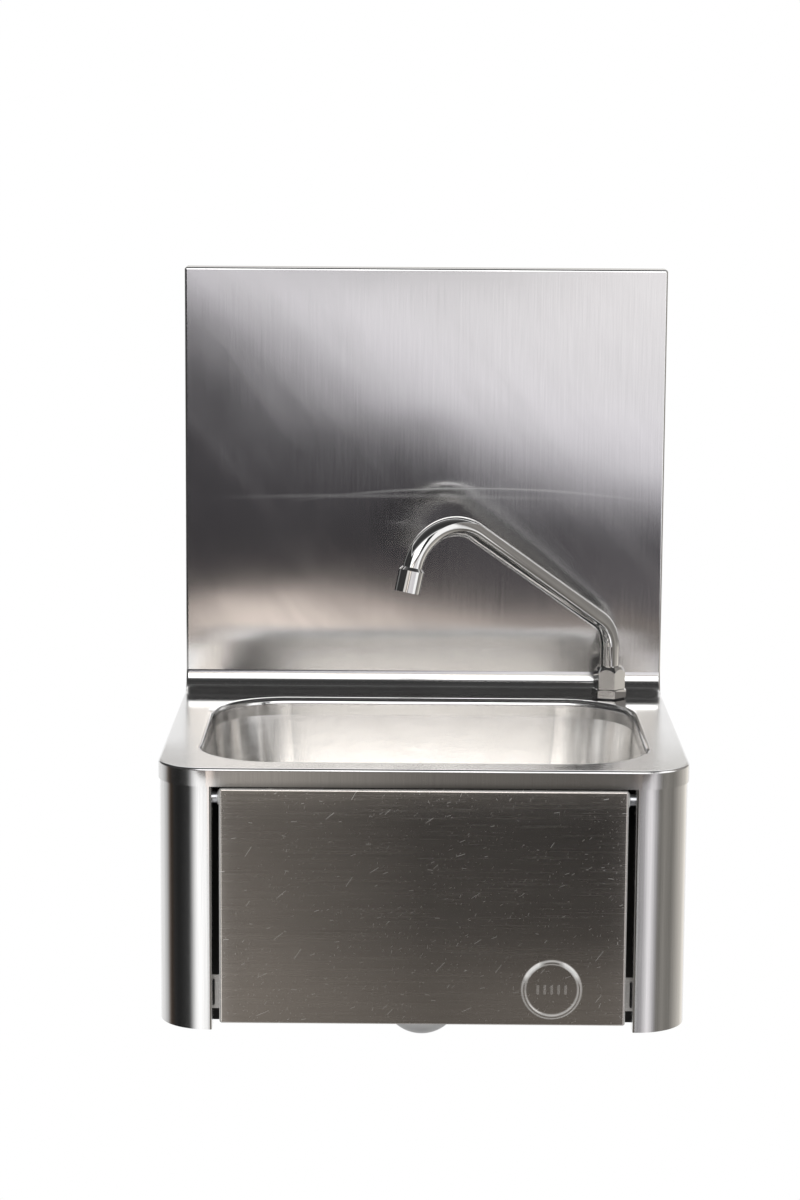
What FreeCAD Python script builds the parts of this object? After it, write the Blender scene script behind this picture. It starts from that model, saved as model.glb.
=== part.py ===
import FreeCAD, Part
import math
import os
from types import SimpleNamespace

import Sketcher

# A wall-hung hand wash basin in stainless steel sheet. The deck, splashback and apron are one
# sheet, the bowl hangs under its opening, and two skirts with big front corners close the sides.
# A knee panel swings on two pins between the skirts and pushes the valve of a swivelling spout.
#
# +Z is up, -Y is the front and +X is the user's right. The origin lies on the wall, at the centre
# of the four fixing holes. Heights in the code are counted from the deck, and "stand" lifts them.

SIZES = {
    # the sheet body
    "width": 400.0, "depth": 340.0, "splash_height": 354.0, "splash_stand_off": 20.0,
    "sheet": 1.2, "apron": 14.0, "hem": 8.0, "corner": 38.0, "cove": 16.0, "edge_bend": 2.0,
    "fixing_drop": 110.0, "fixing_spread": 372.0, "fixing_rise": 130.0, "fixing_hole": 4.0,
    # the bowl and its opening in the deck
    "bowl_width": 340.0, "bowl_length": 249.0, "bowl_corner": 60.0, "bowl_front_rim": 28.0,
    "bowl_lip": 5.0, "bowl_depth": 130.0, "bowl_draft": 5.0, "bowl_floor_bend": 45.0,
    "sump_top": 58.0, "sump_floor": 40.0, "sump_drop": 6.0, "sump_bend": 9.0, "waste_hole": 22.5,
    # the skirts
    "skirt_inset": 1.0, "skirt_drop": 201.0, "lip_half_gap": 158.0, "lip_return": 17.0,
    "wall_flange": 22.0, "lip_bend": 1.6,
    # the knee panel
    "panel_half": 152.5, "panel_top": 15.5, "panel_bottom": 196.0, "panel_fold": 18.0,
    "panel_bend": 2.0, "ring_offset": 97.0, "ring_drop": 168.0, "ring_middle": 21.0,
    "ring_bead": 1.75, "ring_groove": 1.1, "ear_reach": 13.5, "ear_low": 190.0,
    "ear_high": 164.0, "buffer": 2.2, "buffer_gap": 0.3,
    # the panel's pivots
    "pivot_drop": 24.0, "pivot_back": 9.0, "pin": 2.95, "pin_hole": 3.0, "bush": 3.97,
    "bush_hole": 4.0, "bush_collar": 5.5, "bush_collar_length": 1.0, "bush_tail": 1.9,
    "pin_head": 5.0, "pin_head_length": 3.0, "pin_head_gap": 0.4, "pin_tail": 6.2,
    "spacer": 4.5, "pivot_nut": 10.0, "pivot_nut_length": 4.0,
    # the cross rail that carries the valve
    "rail_back": 58.0, "rail_sheet": 1.5, "rail_height": 38.0, "rail_flange": 14.0,
    "rail_end_gap": 0.8, "cleat_leg": 26.0, "cleat_side": 30.0, "cleat_height": 33.0,
    "rail_screw": 2.5, "rail_screw_hole": 2.7, "rail_screw_rise": 9.0, "rail_screw_inset": 14.0,
    "screw_head": 4.5, "screw_head_length": 3.0, "screw_length": 10.0, "rail_nut": 8.0,
    "rail_nut_length": 4.0,
    # the knee valve
    "neck": 13.0, "neck_hole": 13.2, "neck_reach": 18.0, "barrel": 17.0, "barrel_length": 58.0,
    "chamber": 9.5, "seat": 6.0, "seat_back": 26.0, "seat_thick": 3.0, "spindle": 3.0,
    "spindle_bore": 3.05, "button": 10.0, "button_length": 11.5, "button_round": 8.0,
    "button_gap": 0.25, "button_grip": 7.0, "spring_wire": 0.7, "spring_middle": 6.5,
    "spring_turns": 4.5, "lock_nut": 32.0, "lock_nut_length": 7.0, "valve_washer": 1.5,
    "bonnet_hex": 22.0, "bonnet_hex_length": 6.0, "plug": 9.45, "plug_length": 5.0,
    "end_cap_hex": 27.0, "end_cap_length": 7.0, "gland": 4.6, "gland_length": 2.2,
    "spindle_ring": 0.75, "disc": 8.0, "disc_length": 3.8, "spindle_head": 5.0,
    "inlet_spread": 38.0, "inlet": 10.45, "inlet_shoulder": 12.5,
    "inlet_shoulder_drop": 18.0, "inlet_bore": 7.5, "inlet_back": 42.0,
    "inlet_drop": 40.0, "manifold": 11.5, "manifold_length": 62.0, "manifold_bore_length": 54.0,
    "outlet_back": 14.0, "outlet_reach": 31.0, "outlet": 8.2, "outlet_bore": 5.0,
    "socket_depth": 10.0, "check_valve": 7.45, "check_valve_length": 14.0,
    # the riser pipe from the valve to the spout
    "riser": 6.0, "riser_bore": 5.0, "riser_bend": 20.0, "riser_socket": 6.05, "riser_nut": 22.0,
    "riser_nut_length": 14.0, "tail_nut": 25.0, "tail_nut_length": 18.0, "nut_lip": 5.0,
    # the spout
    "spout_offset": 155.0, "spout_back": 30.0, "base_hex": 25.0, "base_hex_height": 7.0,
    "gasket": 1.2, "gasket_reach": 12.3, "shank": 10.45, "deck_hole": 11.0, "shank_drop": 50.0,
    "shank_top": 20.0, "shank_thread": 9.8, "shank_bore": 7.0, "shank_bore_drop": 15.0,
    "back_nut": 28.0, "back_nut_height": 7.0, "back_washer": 15.0, "back_washer_height": 2.0,
    "union_hex": 23.0, "union_top": 27.0, "union_lip": 3.0, "union_crown": 10.3,
    "union_crown_drop": 5.5, "tube": 8.0, "tube_bore": 6.5, "tube_rise": 44.0,
    "tube_low_bend": 28.0, "tube_slope": 33.6, "tube_run": 145.0, "tube_top_bend": 40.0,
    "tube_lean": 13.5, "tube_tip": 8.0, "spout_turn": 32.0, "aerator": 10.3,
    "aerator_length": 20.0, "aerator_chamfer": 2.6, "aerator_bore": 9.0, "foot": 6.95,
    "foot_drop": 13.0, "foot_flange": 9.2, "foot_flange_height": 2.0, "slip_ring": 9.6,
    "fit_gap": 0.06, "foot_ring": 0.55,
    # the waste and the trap
    "strainer": 33.0, "strainer_thick": 1.6, "strainer_neck": 20.5, "strainer_slots": 8,
    "waste_gasket": 1.2, "waste_body": 32.0, "waste_throat": 21.0, "waste_body_drop": 34.0,
    "waste_screw": 3.0, "waste_screw_length": 26.0, "trap_nut": 50.0, "trap_nut_height": 15.0,
    "trap_neck": 19.0, "trap_bottle": 29.5, "trap_cup": 32.0, "trap_bottom": 248.0,
    "trap_wall": 1.6, "trap_collar": 37.0, "trap_collar_height": 10.0, "trap_shoulder": 184.0,
    "trap_neck_top": 173.0, "dip_tube": 16.0, "dip_tube_drop": 232.0, "outlet_drop": 195.0,
    "trap_spout": 19.0, "trap_spout_reach": 50.0, "outlet_pipe": 16.0, "spigot": 15.8, "pipe_wall": 1.2,
    "pipe_past_wall": 30.0, "outlet_nut": 46.0, "outlet_nut_length": 15.0, "rosette": 34.0,
    "rosette_depth": 9.0,
}

doc = FreeCAD.newDocument("HandWashSink")
sheet = doc.addObject("Spreadsheet::Sheet", "Dims")
for row, (word, value) in enumerate(SIZES.items(), start=1):
    sheet.set("A%d" % row, word)
    sheet.set("B%d" % row, str(value))
    sheet.setAlias("B%d" % row, word)
doc.recompute()


class Size:
    """A number that keeps the sheet expression it is worked out from."""

    def __init__(self, value, text):
        self.value = value
        self.text = text

    def __add__(self, other):
        return Size(self.value + number(other), "(%s + %s)" % (self.text, text(other)))

    def __sub__(self, other):
        return Size(self.value - number(other), "(%s - %s)" % (self.text, text(other)))

    def __rsub__(self, other):
        return Size(number(other) - self.value, "(%s - %s)" % (text(other), self.text))

    def __mul__(self, other):
        return Size(self.value * number(other), "(%s * %s)" % (self.text, text(other)))

    def __truediv__(self, other):
        return Size(self.value / number(other), "(%s / %s)" % (self.text, text(other)))

    def __neg__(self):
        return Size(-self.value, "(0 - %s)" % self.text)

    __radd__ = __add__
    __rmul__ = __mul__


def number(size):
    return size.value if isinstance(size, Size) else float(size)


def text(size):
    return size.text if isinstance(size, Size) else "(%r)" % float(size)


def sine(angle):
    return Size(math.sin(math.radians(number(angle))), "sin(%s * 1deg)" % text(angle))


def cosine(angle):
    return Size(math.cos(math.radians(number(angle))), "cos(%s * 1deg)" % text(angle))


D = SimpleNamespace(**{word: Size(value, "Dims." + word) for word, value in SIZES.items()})

FRONT = D.depth - D.skirt_inset            # the panel's and the skirts' front face, from the wall
BOWL_CENTRE = D.depth - D.bowl_front_rim - D.bowl_length / 2
SPOUT_BACK = D.splash_stand_off + D.spout_back
PIVOT_BACK = FRONT - D.pivot_back
RAIL_FRONT = FRONT - D.rail_back
RAIL_REAR = RAIL_FRONT - D.rail_sheet      # where the valve's shoulder sits
FLOOR = D.bowl_depth + D.sump_drop         # the sump's upper face, below the deck
PIPE_START = D.trap_spout_reach - 12
TURNS = {
    "up": FreeCAD.Rotation(),
    "down": FreeCAD.Rotation(FreeCAD.Vector(1, 0, 0), 180),
    "front": FreeCAD.Rotation(FreeCAD.Vector(1, 0, 0), 90),
    "back": FreeCAD.Rotation(FreeCAD.Vector(1, 0, 0), -90),
    "right": FreeCAD.Rotation(FreeCAD.Vector(0, 1, 0), 90),
}


def bind(thing, prop, size):
    thing.setExpression(prop, text(size))


def stand(piece, x=0, y=0, z=0, turn=TURNS["up"]):
    """Places a piece: x from the middle, y from the wall, z from the deck's upper face."""
    piece.Placement = FreeCAD.Placement(FreeCAD.Vector(), turn)
    bind(piece, "Placement.Base.x", x)
    bind(piece, "Placement.Base.y", y)
    bind(piece, "Placement.Base.z", D.fixing_drop + z)


def new_body(name):
    body = doc.addObject("PartDesign::Body", name)
    body.Label = name
    return body


def lay(feature, body, role, x=0, y=0, lift=0):
    """Attaches a sketch or a primitive to one of the body's own origin planes."""
    plane = next(f for f in body.Origin.OriginFeatures if f.Role == role)
    feature.AttachmentSupport = [(plane, "")]
    feature.MapMode = "FlatFace"
    bind(feature, "AttachmentOffset.Base.x", x)
    bind(feature, "AttachmentOffset.Base.y", y)
    bind(feature, "AttachmentOffset.Base.z", lift)


def sketch_on(body, role, lift=0):
    sketch = body.newObject("Sketcher::SketchObject", body.Name + "Sketch")
    lay(sketch, body, role, lift=lift)
    return sketch


def fix(sketch, kind, place, size):
    """One sketch dimension, bound to the sheet."""
    index = sketch.addConstraint(Sketcher.Constraint(kind, *place, number(size)))
    sketch.setExpression("Constraints[%d]" % index, text(size))


def fix_point(sketch, geometry, end, x, y):
    for size, kind, axis in ((x, "DistanceX", -2), (y, "DistanceY", -1)):
        if number(size) == 0:
            sketch.addConstraint(Sketcher.Constraint("PointOnObject", geometry, end, axis))
        else:
            fix(sketch, kind, (-1, 1, geometry, end), size)


def polygon(sketch, corners):
    """A closed outline of straight lines through corners given as sizes."""
    points = [FreeCAD.Vector(number(x), number(y)) for x, y in corners]
    first = sketch.GeometryCount
    count = len(points)
    for i in range(count):
        sketch.addGeometry(Part.LineSegment(points[i], points[(i + 1) % count]), False)
    for i in range(count):
        here, following = first + i, first + (i + 1) % count
        sketch.addConstraint(Sketcher.Constraint("Coincident", here, 2, following, 1))
    for i, (x, y) in enumerate(corners):
        fix_point(sketch, first + i, 1, x, y)


def rectangle(sketch, x0, y0, x1, y1):
    polygon(sketch, [(x0, y0), (x1, y0), (x1, y1), (x0, y1)])


def circle(sketch, radius, x=0, y=0):
    centre = FreeCAD.Vector(number(x), number(y))
    normal = FreeCAD.Vector(0, 0, 1)
    index = sketch.addGeometry(Part.Circle(centre, normal, number(radius)), False)
    fix(sketch, "Radius", (index,), radius)
    fix_point(sketch, index, 3, x, y)


def hexagon(sketch, across, start=0):
    """A hexagon of the given width across its flats, with a corner at the start angle."""
    corner = across / math.sqrt(3)
    angles = [math.radians(start + 60 * i) for i in range(6)]
    polygon(sketch, [(corner * math.cos(a), corner * math.sin(a)) for a in angles])


def pad(body, sketch, length, middle=False, back=False, taper=None):
    feature = body.newObject("PartDesign::Pad", body.Name + "Pad")
    feature.Profile = sketch
    bind(feature, "Length", length)
    feature.SideType = "Symmetric" if middle else "One side"
    feature.Reversed = back
    if taper is not None:
        bind(feature, "TaperAngle", taper)
    doc.recompute()
    return feature


def pocket(body, sketch, length=None, middle=True, back=False):
    """A pocket, through everything on both sides when it has no length."""
    before = body.Shape.Volume
    feature = body.newObject("PartDesign::Pocket", body.Name + "Pocket")
    feature.Profile = sketch
    feature.SideType = "Symmetric" if middle else "One side"
    feature.Reversed = back
    if length is None:
        feature.Type = "ThroughAll"
    else:
        bind(feature, "Length", length)
    doc.recompute()
    if body.Shape.Volume >= before:
        raise RuntimeError("a pocket of %s cuts nothing" % body.Label)
    return feature


def spin(body, profile, kind="Revolution", x=0, lift=0):
    """Turns a closed profile of (radius, height) corners about the body's Z axis."""
    sketch = sketch_on(body, "XZ_Plane", lift)
    polygon(sketch, [(x + radius, height) for radius, height in profile])
    feature = body.newObject("PartDesign::" + kind, body.Name + kind)
    feature.Profile = sketch
    feature.ReferenceAxis = (sketch, ["V_Axis"])
    feature.Angle = 360
    doc.recompute()
    return feature


def turned(name, profile):
    body = new_body(name)
    spin(body, profile)
    return body


def ring(name, outer, inner, height):
    return turned(name, [(inner, 0), (outer, 0), (outer, height), (inner, height)])


def pick(shape, wanted):
    return ["Edge%d" % (i + 1) for i, edge in enumerate(shape.Edges) if wanted(edge.BoundBox)]


def round_edges(body, radius, wanted):
    """Rounds the edges of the body's last feature whose bounding box is wanted."""
    base = body.Tip
    feature = body.newObject("PartDesign::Fillet", body.Name + "Fillet")
    feature.Base = (base, pick(base.Shape, wanted))
    bind(feature, "Radius", radius)
    doc.recompute()
    return feature


def near(value, size):
    return abs(value - number(size)) < 1e-3


def nut(name, across, length, bore, start=0, crown=None, crown_drop=None):
    """A hexagon nut from z = 0 up, its upper corners turned down to the crown's radius."""
    body = new_body(name)
    sketch = sketch_on(body, "XY_Plane")
    hexagon(sketch, across, start)
    circle(sketch, bore)
    pad(body, sketch, length)
    crown = across * 0.48 if crown is None else crown
    crown_drop = across * 0.06 if crown_drop is None else crown_drop
    corner = across * 0.6
    spin(body, [(crown, length), (corner, length), (corner, length - crown_drop)], "Groove")
    return body


def torus(body, ring_radius, wire, role, x=0, y=0, lift=0):
    feature = body.newObject("PartDesign::AdditiveTorus", body.Name + "Torus")
    lay(feature, body, role, x, y, lift)
    bind(feature, "Radius1", ring_radius)
    bind(feature, "Radius2", wire)
    doc.recompute()
    return feature


def octagon(x, radius):
    """The corners of an eight-sided section round (x, 0), two of its sides upright."""
    turns = [math.radians(22.5 + 45 * step) for step in range(8)]
    return [(x + radius * math.cos(turn), radius * math.sin(turn)) for turn in turns]


def seal(name, middle, wire):
    """A sealing ring of an eight-sided section about z = 0."""
    return turned(name, octagon(middle, wire))


def mirrored(name, source):
    copy = doc.addObject("Part::Mirroring", name)
    copy.Source = source
    copy.Normal = FreeCAD.Vector(1, 0, 0)
    copy.Label = name
    return copy


def both_sides(name, source):
    """Identical small pieces on the right and the left, as one group of separate solids."""
    source.Label = name + "_right"
    group = doc.addObject("Part::Compound", name)
    group.Links = [source, mirrored(name + "_left", source)]
    group.Label = name
    return group


# ---- the sheet body -------------------------------------------------------------------------


NOTHING = Size(0.0, "0")


def deck_form(name, inset):
    """The deck, cove and splashback as a full block, drawn in by the inset from every face."""
    body = new_body(name)
    half = D.width / 2 - inset
    front = D.depth - inset
    splash = D.splash_stand_off - inset
    past = 1 if inset is not NOTHING else 0
    side = sketch_on(body, "YZ_Plane")
    polygon(side, [(past, -D.apron - past), (-front, -D.apron - past), (-front, -inset),
                   (-splash, -inset), (-splash, D.splash_height - inset),
                   (past, D.splash_height - inset)])
    pad(body, side, half * 2, middle=True)
    round_edges(body, D.corner - inset, lambda b: near(b.YMax, -front) and b.YLength < 1e-3
                and b.XLength < 1e-3)
    round_edges(body, D.cove + inset, lambda b: near(b.YMax, -splash) and near(b.YMin, -splash)
                and near(b.ZMin, -inset) and near(b.ZMax, -inset))
    opening = sketch_on(body, "XY_Plane")
    across = D.bowl_width / 2 + inset
    along = D.bowl_length / 2 + inset
    rectangle(opening, -across, -BOWL_CENTRE - along, across, -BOWL_CENTRE + along)
    pocket(body, opening)
    round_edges(body, D.bowl_corner + inset, lambda b: b.ZLength > number(D.apron) - 2
                and b.XLength < 1e-3 and b.YLength < 1e-3 and abs(b.XMin) < number(across) + 1)
    limit = number(across) + 1
    round_edges(body, D.bowl_lip - inset, lambda b: near(b.ZMin, -inset) and b.ZLength < 1e-3
                and b.XMin > -limit and b.XMax < limit and b.YMin > -number(front) + 5
                and b.YMax < -number(BOWL_CENTRE) + number(along) + 1)

    def outer_bend(b):
        if b.ZMin < -number(inset) - 1e-3 or b.YMin > -number(splash) + 1e-3:
            return False
        end = near(abs(b.XMin), half) and b.XLength < 1e-3
        corner = abs(b.XMin + b.XMax) / 2 > number(half) - number(D.corner) and b.YMax < -200
        nose = near(b.YMax, -front) and b.YLength < 1e-3
        crest = near(b.ZMin, D.splash_height - inset) and b.YLength < 1e-3
        return end or corner or nose or crest
    round_edges(body, D.edge_bend - inset, outer_bend)
    return body


def deck_and_splashback():
    """One sheet: the full form less the same form drawn in by the sheet's thickness."""
    full = deck_form("deck_full", NOTHING)
    tap_hole = sketch_on(full, "XY_Plane")
    circle(tap_hole, D.deck_hole, D.spout_offset, -SPOUT_BACK)
    pocket(full, tap_hole)
    void = deck_form("deck_void", D.sheet)
    shell = doc.addObject("Part::Cut", "deck_shell")
    shell.Base = full
    shell.Tool = void
    stand(full)
    stand(void)
    hem = apron_hem()
    deck = doc.addObject("Part::Fuse", "deck_and_splashback")
    deck.Base = shell
    deck.Tool = hem
    deck.Label = "deck_and_splashback"
    return deck


def apron_block(name, inset):
    """A block as high as the hem, with the deck's front corners, drawn in by the inset."""
    body = new_body(name)
    half = D.width / 2 - inset
    front = D.depth - inset
    outline = sketch_on(body, "XY_Plane", -D.apron)
    rectangle(outline, -half, -front, half, 0)
    pad(body, outline, D.hem)
    round_edges(body, D.corner - inset, lambda b: b.ZLength > 1 and near(b.YMax, -front))
    stand(body)
    return body


def apron_hem():
    """The apron's lower edge, folded flat inwards on three sides."""
    hem = doc.addObject("Part::Cut", "apron_hem")
    hem.Base = apron_block("apron_hem_outer", D.sheet / 2)
    hem.Tool = apron_block("apron_hem_inner", D.sheet * 2)
    return hem


def bowl_form(name, inset):
    """The deep-drawn bowl as a full block below the deck's collar, drawn in by the inset."""
    body = new_body(name)
    across = D.bowl_width / 2 + D.sheet - inset
    along = D.bowl_length / 2 + D.sheet - inset
    deep = D.bowl_depth + D.sheet - inset
    mouth = sketch_on(body, "XY_Plane", -D.apron)
    rectangle(mouth, -across, -BOWL_CENTRE - along, across, -BOWL_CENTRE + along)
    pad(body, mouth, deep - D.apron, back=True, taper=-D.bowl_draft)
    round_edges(body, D.bowl_corner + D.sheet - inset, lambda b: b.ZLength > 50)
    round_edges(body, D.bowl_floor_bend + D.sheet - inset, lambda b: near(b.ZMax, -deep))
    sump = body.newObject("PartDesign::AdditiveCone", name + "Sump")
    lay(sump, body, "XY_Plane", 0, -BOWL_CENTRE, -deep - D.sump_drop)
    bind(sump, "Radius1", D.sump_floor + D.sheet - inset)
    bind(sump, "Radius2", D.sump_top + D.sheet - inset)
    bind(sump, "Height", D.sump_drop)
    doc.recompute()
    round_edges(body, D.sump_bend + inset, lambda b: near(b.ZMax, -deep) and b.ZLength < 1e-3
                and b.XLength < 2 * number(D.sump_top) + 4
                and near(b.XMax, D.sump_top + D.sheet - inset))
    stand(body)
    return body


def bowl():
    full = bowl_form("bowl_full", NOTHING)
    waste = sketch_on(full, "XY_Plane")
    circle(waste, D.waste_hole, 0, -BOWL_CENTRE)
    pocket(full, waste)
    shell = doc.addObject("Part::Cut", "bowl")
    shell.Base = full
    shell.Tool = bowl_form("bowl_void", D.sheet)
    shell.Label = "bowl"
    return shell


def right_skirt():
    """A side panel with a wall flange behind, a big bend in front and a folded lip."""
    body = new_body("right_skirt")
    side = D.width / 2 - D.skirt_inset
    lip = D.lip_half_gap
    plan = sketch_on(body, "XY_Plane", -D.skirt_drop)
    polygon(plan, [(side - D.wall_flange, 0), (side, 0), (side, -FRONT), (lip, -FRONT),
                   (lip, -FRONT + D.lip_return), (lip + D.sheet, -FRONT + D.lip_return),
                   (lip + D.sheet, -FRONT + D.sheet), (side - D.sheet, -FRONT + D.sheet),
                   (side - D.sheet, -D.sheet), (side - D.wall_flange, -D.sheet)])
    pad(body, plan, D.skirt_drop - D.apron)
    bends = [(side, -FRONT, D.corner), (side - D.sheet, -FRONT + D.sheet, D.corner - D.sheet),
             (lip, -FRONT, D.lip_bend), (side, 0, D.sheet * 2), (side - D.sheet, -D.sheet, D.sheet)]
    for x, y, radius in bends:
        round_edges(body, radius, lambda b: b.ZLength > 50 and near(b.XMin, x) and near(b.XMax, x)
                    and near(b.YMin, y) and near(b.YMax, y))
    fixings = sketch_on(body, "XZ_Plane")
    for rise in (D.fixing_rise / 2, -D.fixing_rise / 2):
        circle(fixings, D.fixing_hole, D.fixing_spread / 2, rise - D.fixing_drop)
    pocket(body, fixings, D.sheet * 4)
    pivot = sketch_on(body, "YZ_Plane", lip)
    circle(pivot, D.pin_hole, -PIVOT_BACK, -D.pivot_drop)
    pocket(body, pivot, D.sheet * 4)
    stand(body)
    return body


# ---- the knee panel and its pivots ----------------------------------------------------------


def knee_panel():
    """A pan of four folds with a pressed ring in front of the valve's button."""
    body = new_body("knee_panel")
    face = sketch_on(body, "XZ_Plane", FRONT)
    rectangle(face, -D.panel_half, -D.panel_bottom, D.panel_half, -D.panel_top)
    pad(body, face, D.panel_fold, back=True)
    round_edges(body, D.panel_bend, lambda b: near(b.YMin, -FRONT) and (b.YLength < 1e-3
                or b.YLength > number(D.panel_fold) - 1e-3))
    hollow = sketch_on(body, "XZ_Plane", FRONT - D.sheet)
    inner = D.panel_half - D.sheet
    rectangle(hollow, -inner, -D.panel_bottom + D.sheet, inner, -D.panel_top - D.sheet)
    pocket(body, hollow, D.panel_fold, middle=False, back=False)
    stop_ears(body)
    torus(body, D.ring_middle, D.ring_bead, "XZ_Plane", D.ring_offset, -D.ring_drop, FRONT)
    groove = sketch_on(body, "XZ_Plane", FRONT - D.sheet)
    circle(groove, D.ring_middle + D.ring_groove / 2, D.ring_offset, -D.ring_drop)
    circle(groove, D.ring_middle - D.ring_groove / 2, D.ring_offset, -D.ring_drop)
    pocket(body, groove, D.ring_bead * 2)
    holes = sketch_on(body, "YZ_Plane")
    circle(holes, D.bush_hole, -PIVOT_BACK, -D.pivot_drop)
    pocket(body, holes)
    stand(body)
    return body


EAR_FRONT = FRONT - D.lip_return - D.buffer_gap - D.buffer


def stop_ears(body):
    """Two ears that reach behind the skirts' lips, where their buffers stop the panel."""
    inner = D.panel_half - D.sheet
    tabs = sketch_on(body, "XZ_Plane", FRONT - D.panel_fold)
    ears = sketch_on(body, "XZ_Plane", EAR_FRONT)
    for side in (1, -1):
        rectangle(tabs, inner * side, -D.ear_low, D.panel_half * side, -D.ear_high)
        rectangle(ears, inner * side, -D.ear_low, (D.panel_half + D.ear_reach) * side,
                  -D.ear_high)
    pad(body, tabs, FRONT - D.panel_fold - EAR_FRONT + D.sheet, back=True)
    pad(body, ears, D.sheet, back=True)


def stop_buffers():
    body = new_body("stop_buffer")
    pads = sketch_on(body, "XZ_Plane", EAR_FRONT + D.buffer)
    rectangle(pads, D.lip_half_gap - 1, -D.ear_low + 3, D.panel_half + D.ear_reach - 1,
              -D.ear_high - 3)
    pad(body, pads, D.buffer, back=True)
    round_edges(body, D.sheet, lambda b: b.YLength > 1)
    stand(body)
    return both_sides("stop_buffers", body)


def at_pivot(piece, x):
    stand(piece, x, -PIVOT_BACK, -D.pivot_drop, TURNS["right"])


def pivot_bushes():
    """Collared plastic bushes in the panel's side folds."""
    tail = D.bush_tail
    body = turned("pivot_bush", [(D.pin_hole, 0), (D.bush, 0), (D.bush, tail),
                                 (D.bush_collar, tail), (D.bush_collar, tail + D.bush_collar_length),
                                 (D.pin_hole, tail + D.bush_collar_length)])
    at_pivot(body, D.panel_half - tail)
    return both_sides("pivot_bushes", body)


def pivot_pins():
    reach = D.lip_half_gap - D.panel_half + D.bush_tail + D.pin_tail
    head = D.pin_head_length
    body = turned("pivot_pin", [
        (0, 0), (D.pin_head - D.sheet, 0), (D.pin_head - D.sheet * 0.3, D.sheet * 0.3),
        (D.pin_head, D.sheet), (D.pin_head, head), (D.pin, head), (D.pin, head + reach),
        (0, head + reach)])
    at_pivot(body, D.panel_half - D.bush_tail - D.pin_head_gap - head)
    return both_sides("pivot_pins", body)


def pivot_spacers():
    start = D.panel_half + D.bush_collar_length + D.buffer_gap
    body = ring("pivot_spacer", D.spacer, D.pin_hole, D.lip_half_gap - start)
    at_pivot(body, start)
    return both_sides("pivot_spacers", body)


def pivot_nuts():
    body = nut("pivot_nut", D.pivot_nut, D.pivot_nut_length, D.pin_hole)
    at_pivot(body, D.lip_half_gap + D.sheet)
    return both_sides("pivot_nuts", body)


# ---- the cross rail -------------------------------------------------------------------------


def rail_screw_holes(sketch, radius, sides):
    inset = D.width / 2 - D.skirt_inset - D.sheet - D.rail_screw_inset
    for side in sides:
        for rise in (D.rail_screw_rise, -D.rail_screw_rise):
            circle(sketch, radius, inset * side, rise - D.ring_drop)


def valve_rail():
    """A folded channel across the basin behind the knee panel, open to the wall."""
    body = new_body("valve_rail")
    back, thick = RAIL_FRONT, D.rail_sheet
    top = D.rail_height / 2 - D.ring_drop
    low = -D.rail_height / 2 - D.ring_drop
    edge = -back + D.rail_flange
    section = sketch_on(body, "YZ_Plane")
    polygon(section, [(-back, low), (edge, low), (edge, low + thick), (-back + thick, low + thick),
                      (-back + thick, top - thick), (edge, top - thick), (edge, top), (-back, top)])
    half = D.width / 2 - D.skirt_inset - D.sheet - D.rail_end_gap
    pad(body, section, half * 2, middle=True)
    round_edges(body, D.rail_sheet, lambda b: b.XLength > 100 and near(b.YMax, -back))
    holes = sketch_on(body, "XZ_Plane", back)
    circle(holes, D.neck_hole, D.ring_offset, -D.ring_drop)
    rail_screw_holes(holes, D.rail_screw_hole, (1, -1))
    pocket(body, holes, thick * 3)
    stand(body)
    return body


def rail_cleats():
    """Angles welded inside the skirts, which the rail's ends are screwed to."""
    body = new_body("rail_cleat")
    wall = D.width / 2 - D.skirt_inset - D.sheet
    thick = D.rail_sheet
    plan = sketch_on(body, "XY_Plane", -D.ring_drop)
    polygon(plan, [(wall - D.cleat_leg, -RAIL_REAR), (wall, -RAIL_REAR),
                   (wall, -RAIL_REAR + D.cleat_side), (wall - thick, -RAIL_REAR + D.cleat_side),
                   (wall - thick, -RAIL_REAR + thick), (wall - D.cleat_leg, -RAIL_REAR + thick)])
    pad(body, plan, D.cleat_height, middle=True)
    round_edges(body, thick, lambda b: b.ZLength > 9 and near(b.XMin, wall)
                and near(b.YMax, -RAIL_REAR))
    holes = sketch_on(body, "XZ_Plane", RAIL_REAR)
    rail_screw_holes(holes, D.rail_screw_hole, (1,))
    pocket(body, holes, thick * 3)
    stand(body)
    return both_sides("rail_cleats", body)


def above_and_below(piece, name):
    """The same fastener again, mirrored about the rail's middle height."""
    lower = doc.addObject("Part::Mirroring", name + "_lower")
    lower.Source = piece
    lower.Normal = FreeCAD.Vector(0, 0, 1)
    bind(lower, "Base.z", D.fixing_drop - D.ring_drop)
    two = doc.addObject("Part::Compound", name + "_two")
    two.Links = [piece, lower]
    return two


def at_rail_screw(piece, y):
    inset = D.width / 2 - D.skirt_inset - D.sheet - D.rail_screw_inset
    stand(piece, inset, y, D.rail_screw_rise - D.ring_drop, TURNS["front"])


def rail_screws():
    head = D.screw_head_length
    body = turned("rail_screw", [
        (0, -D.screw_length), (D.rail_screw, -D.screw_length), (D.rail_screw, 0),
        (D.screw_head, 0), (D.screw_head, head * 0.5), (D.screw_head - head * 0.15, head * 0.85),
        (D.screw_head - head * 0.5, head), (0, head)])
    at_rail_screw(body, -RAIL_FRONT)
    return both_sides("rail_screws", above_and_below(body, "rail_screw"))


def rail_nuts():
    body = nut("rail_nut", D.rail_nut, D.rail_nut_length, D.rail_screw + D.fit_gap)
    at_rail_screw(body, -RAIL_REAR + D.rail_sheet + D.rail_nut_length)
    return both_sides("rail_nuts", above_and_below(body, "rail_nut"))


# ---- the knee valve -------------------------------------------------------------------------


def at_valve(piece, forward=0):
    """Places a piece on the valve's axis, its own +Z to the front, from the rail's rear face."""
    stand(piece, D.ring_offset, -RAIL_REAR - forward, -D.ring_drop, TURNS["front"])


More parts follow.
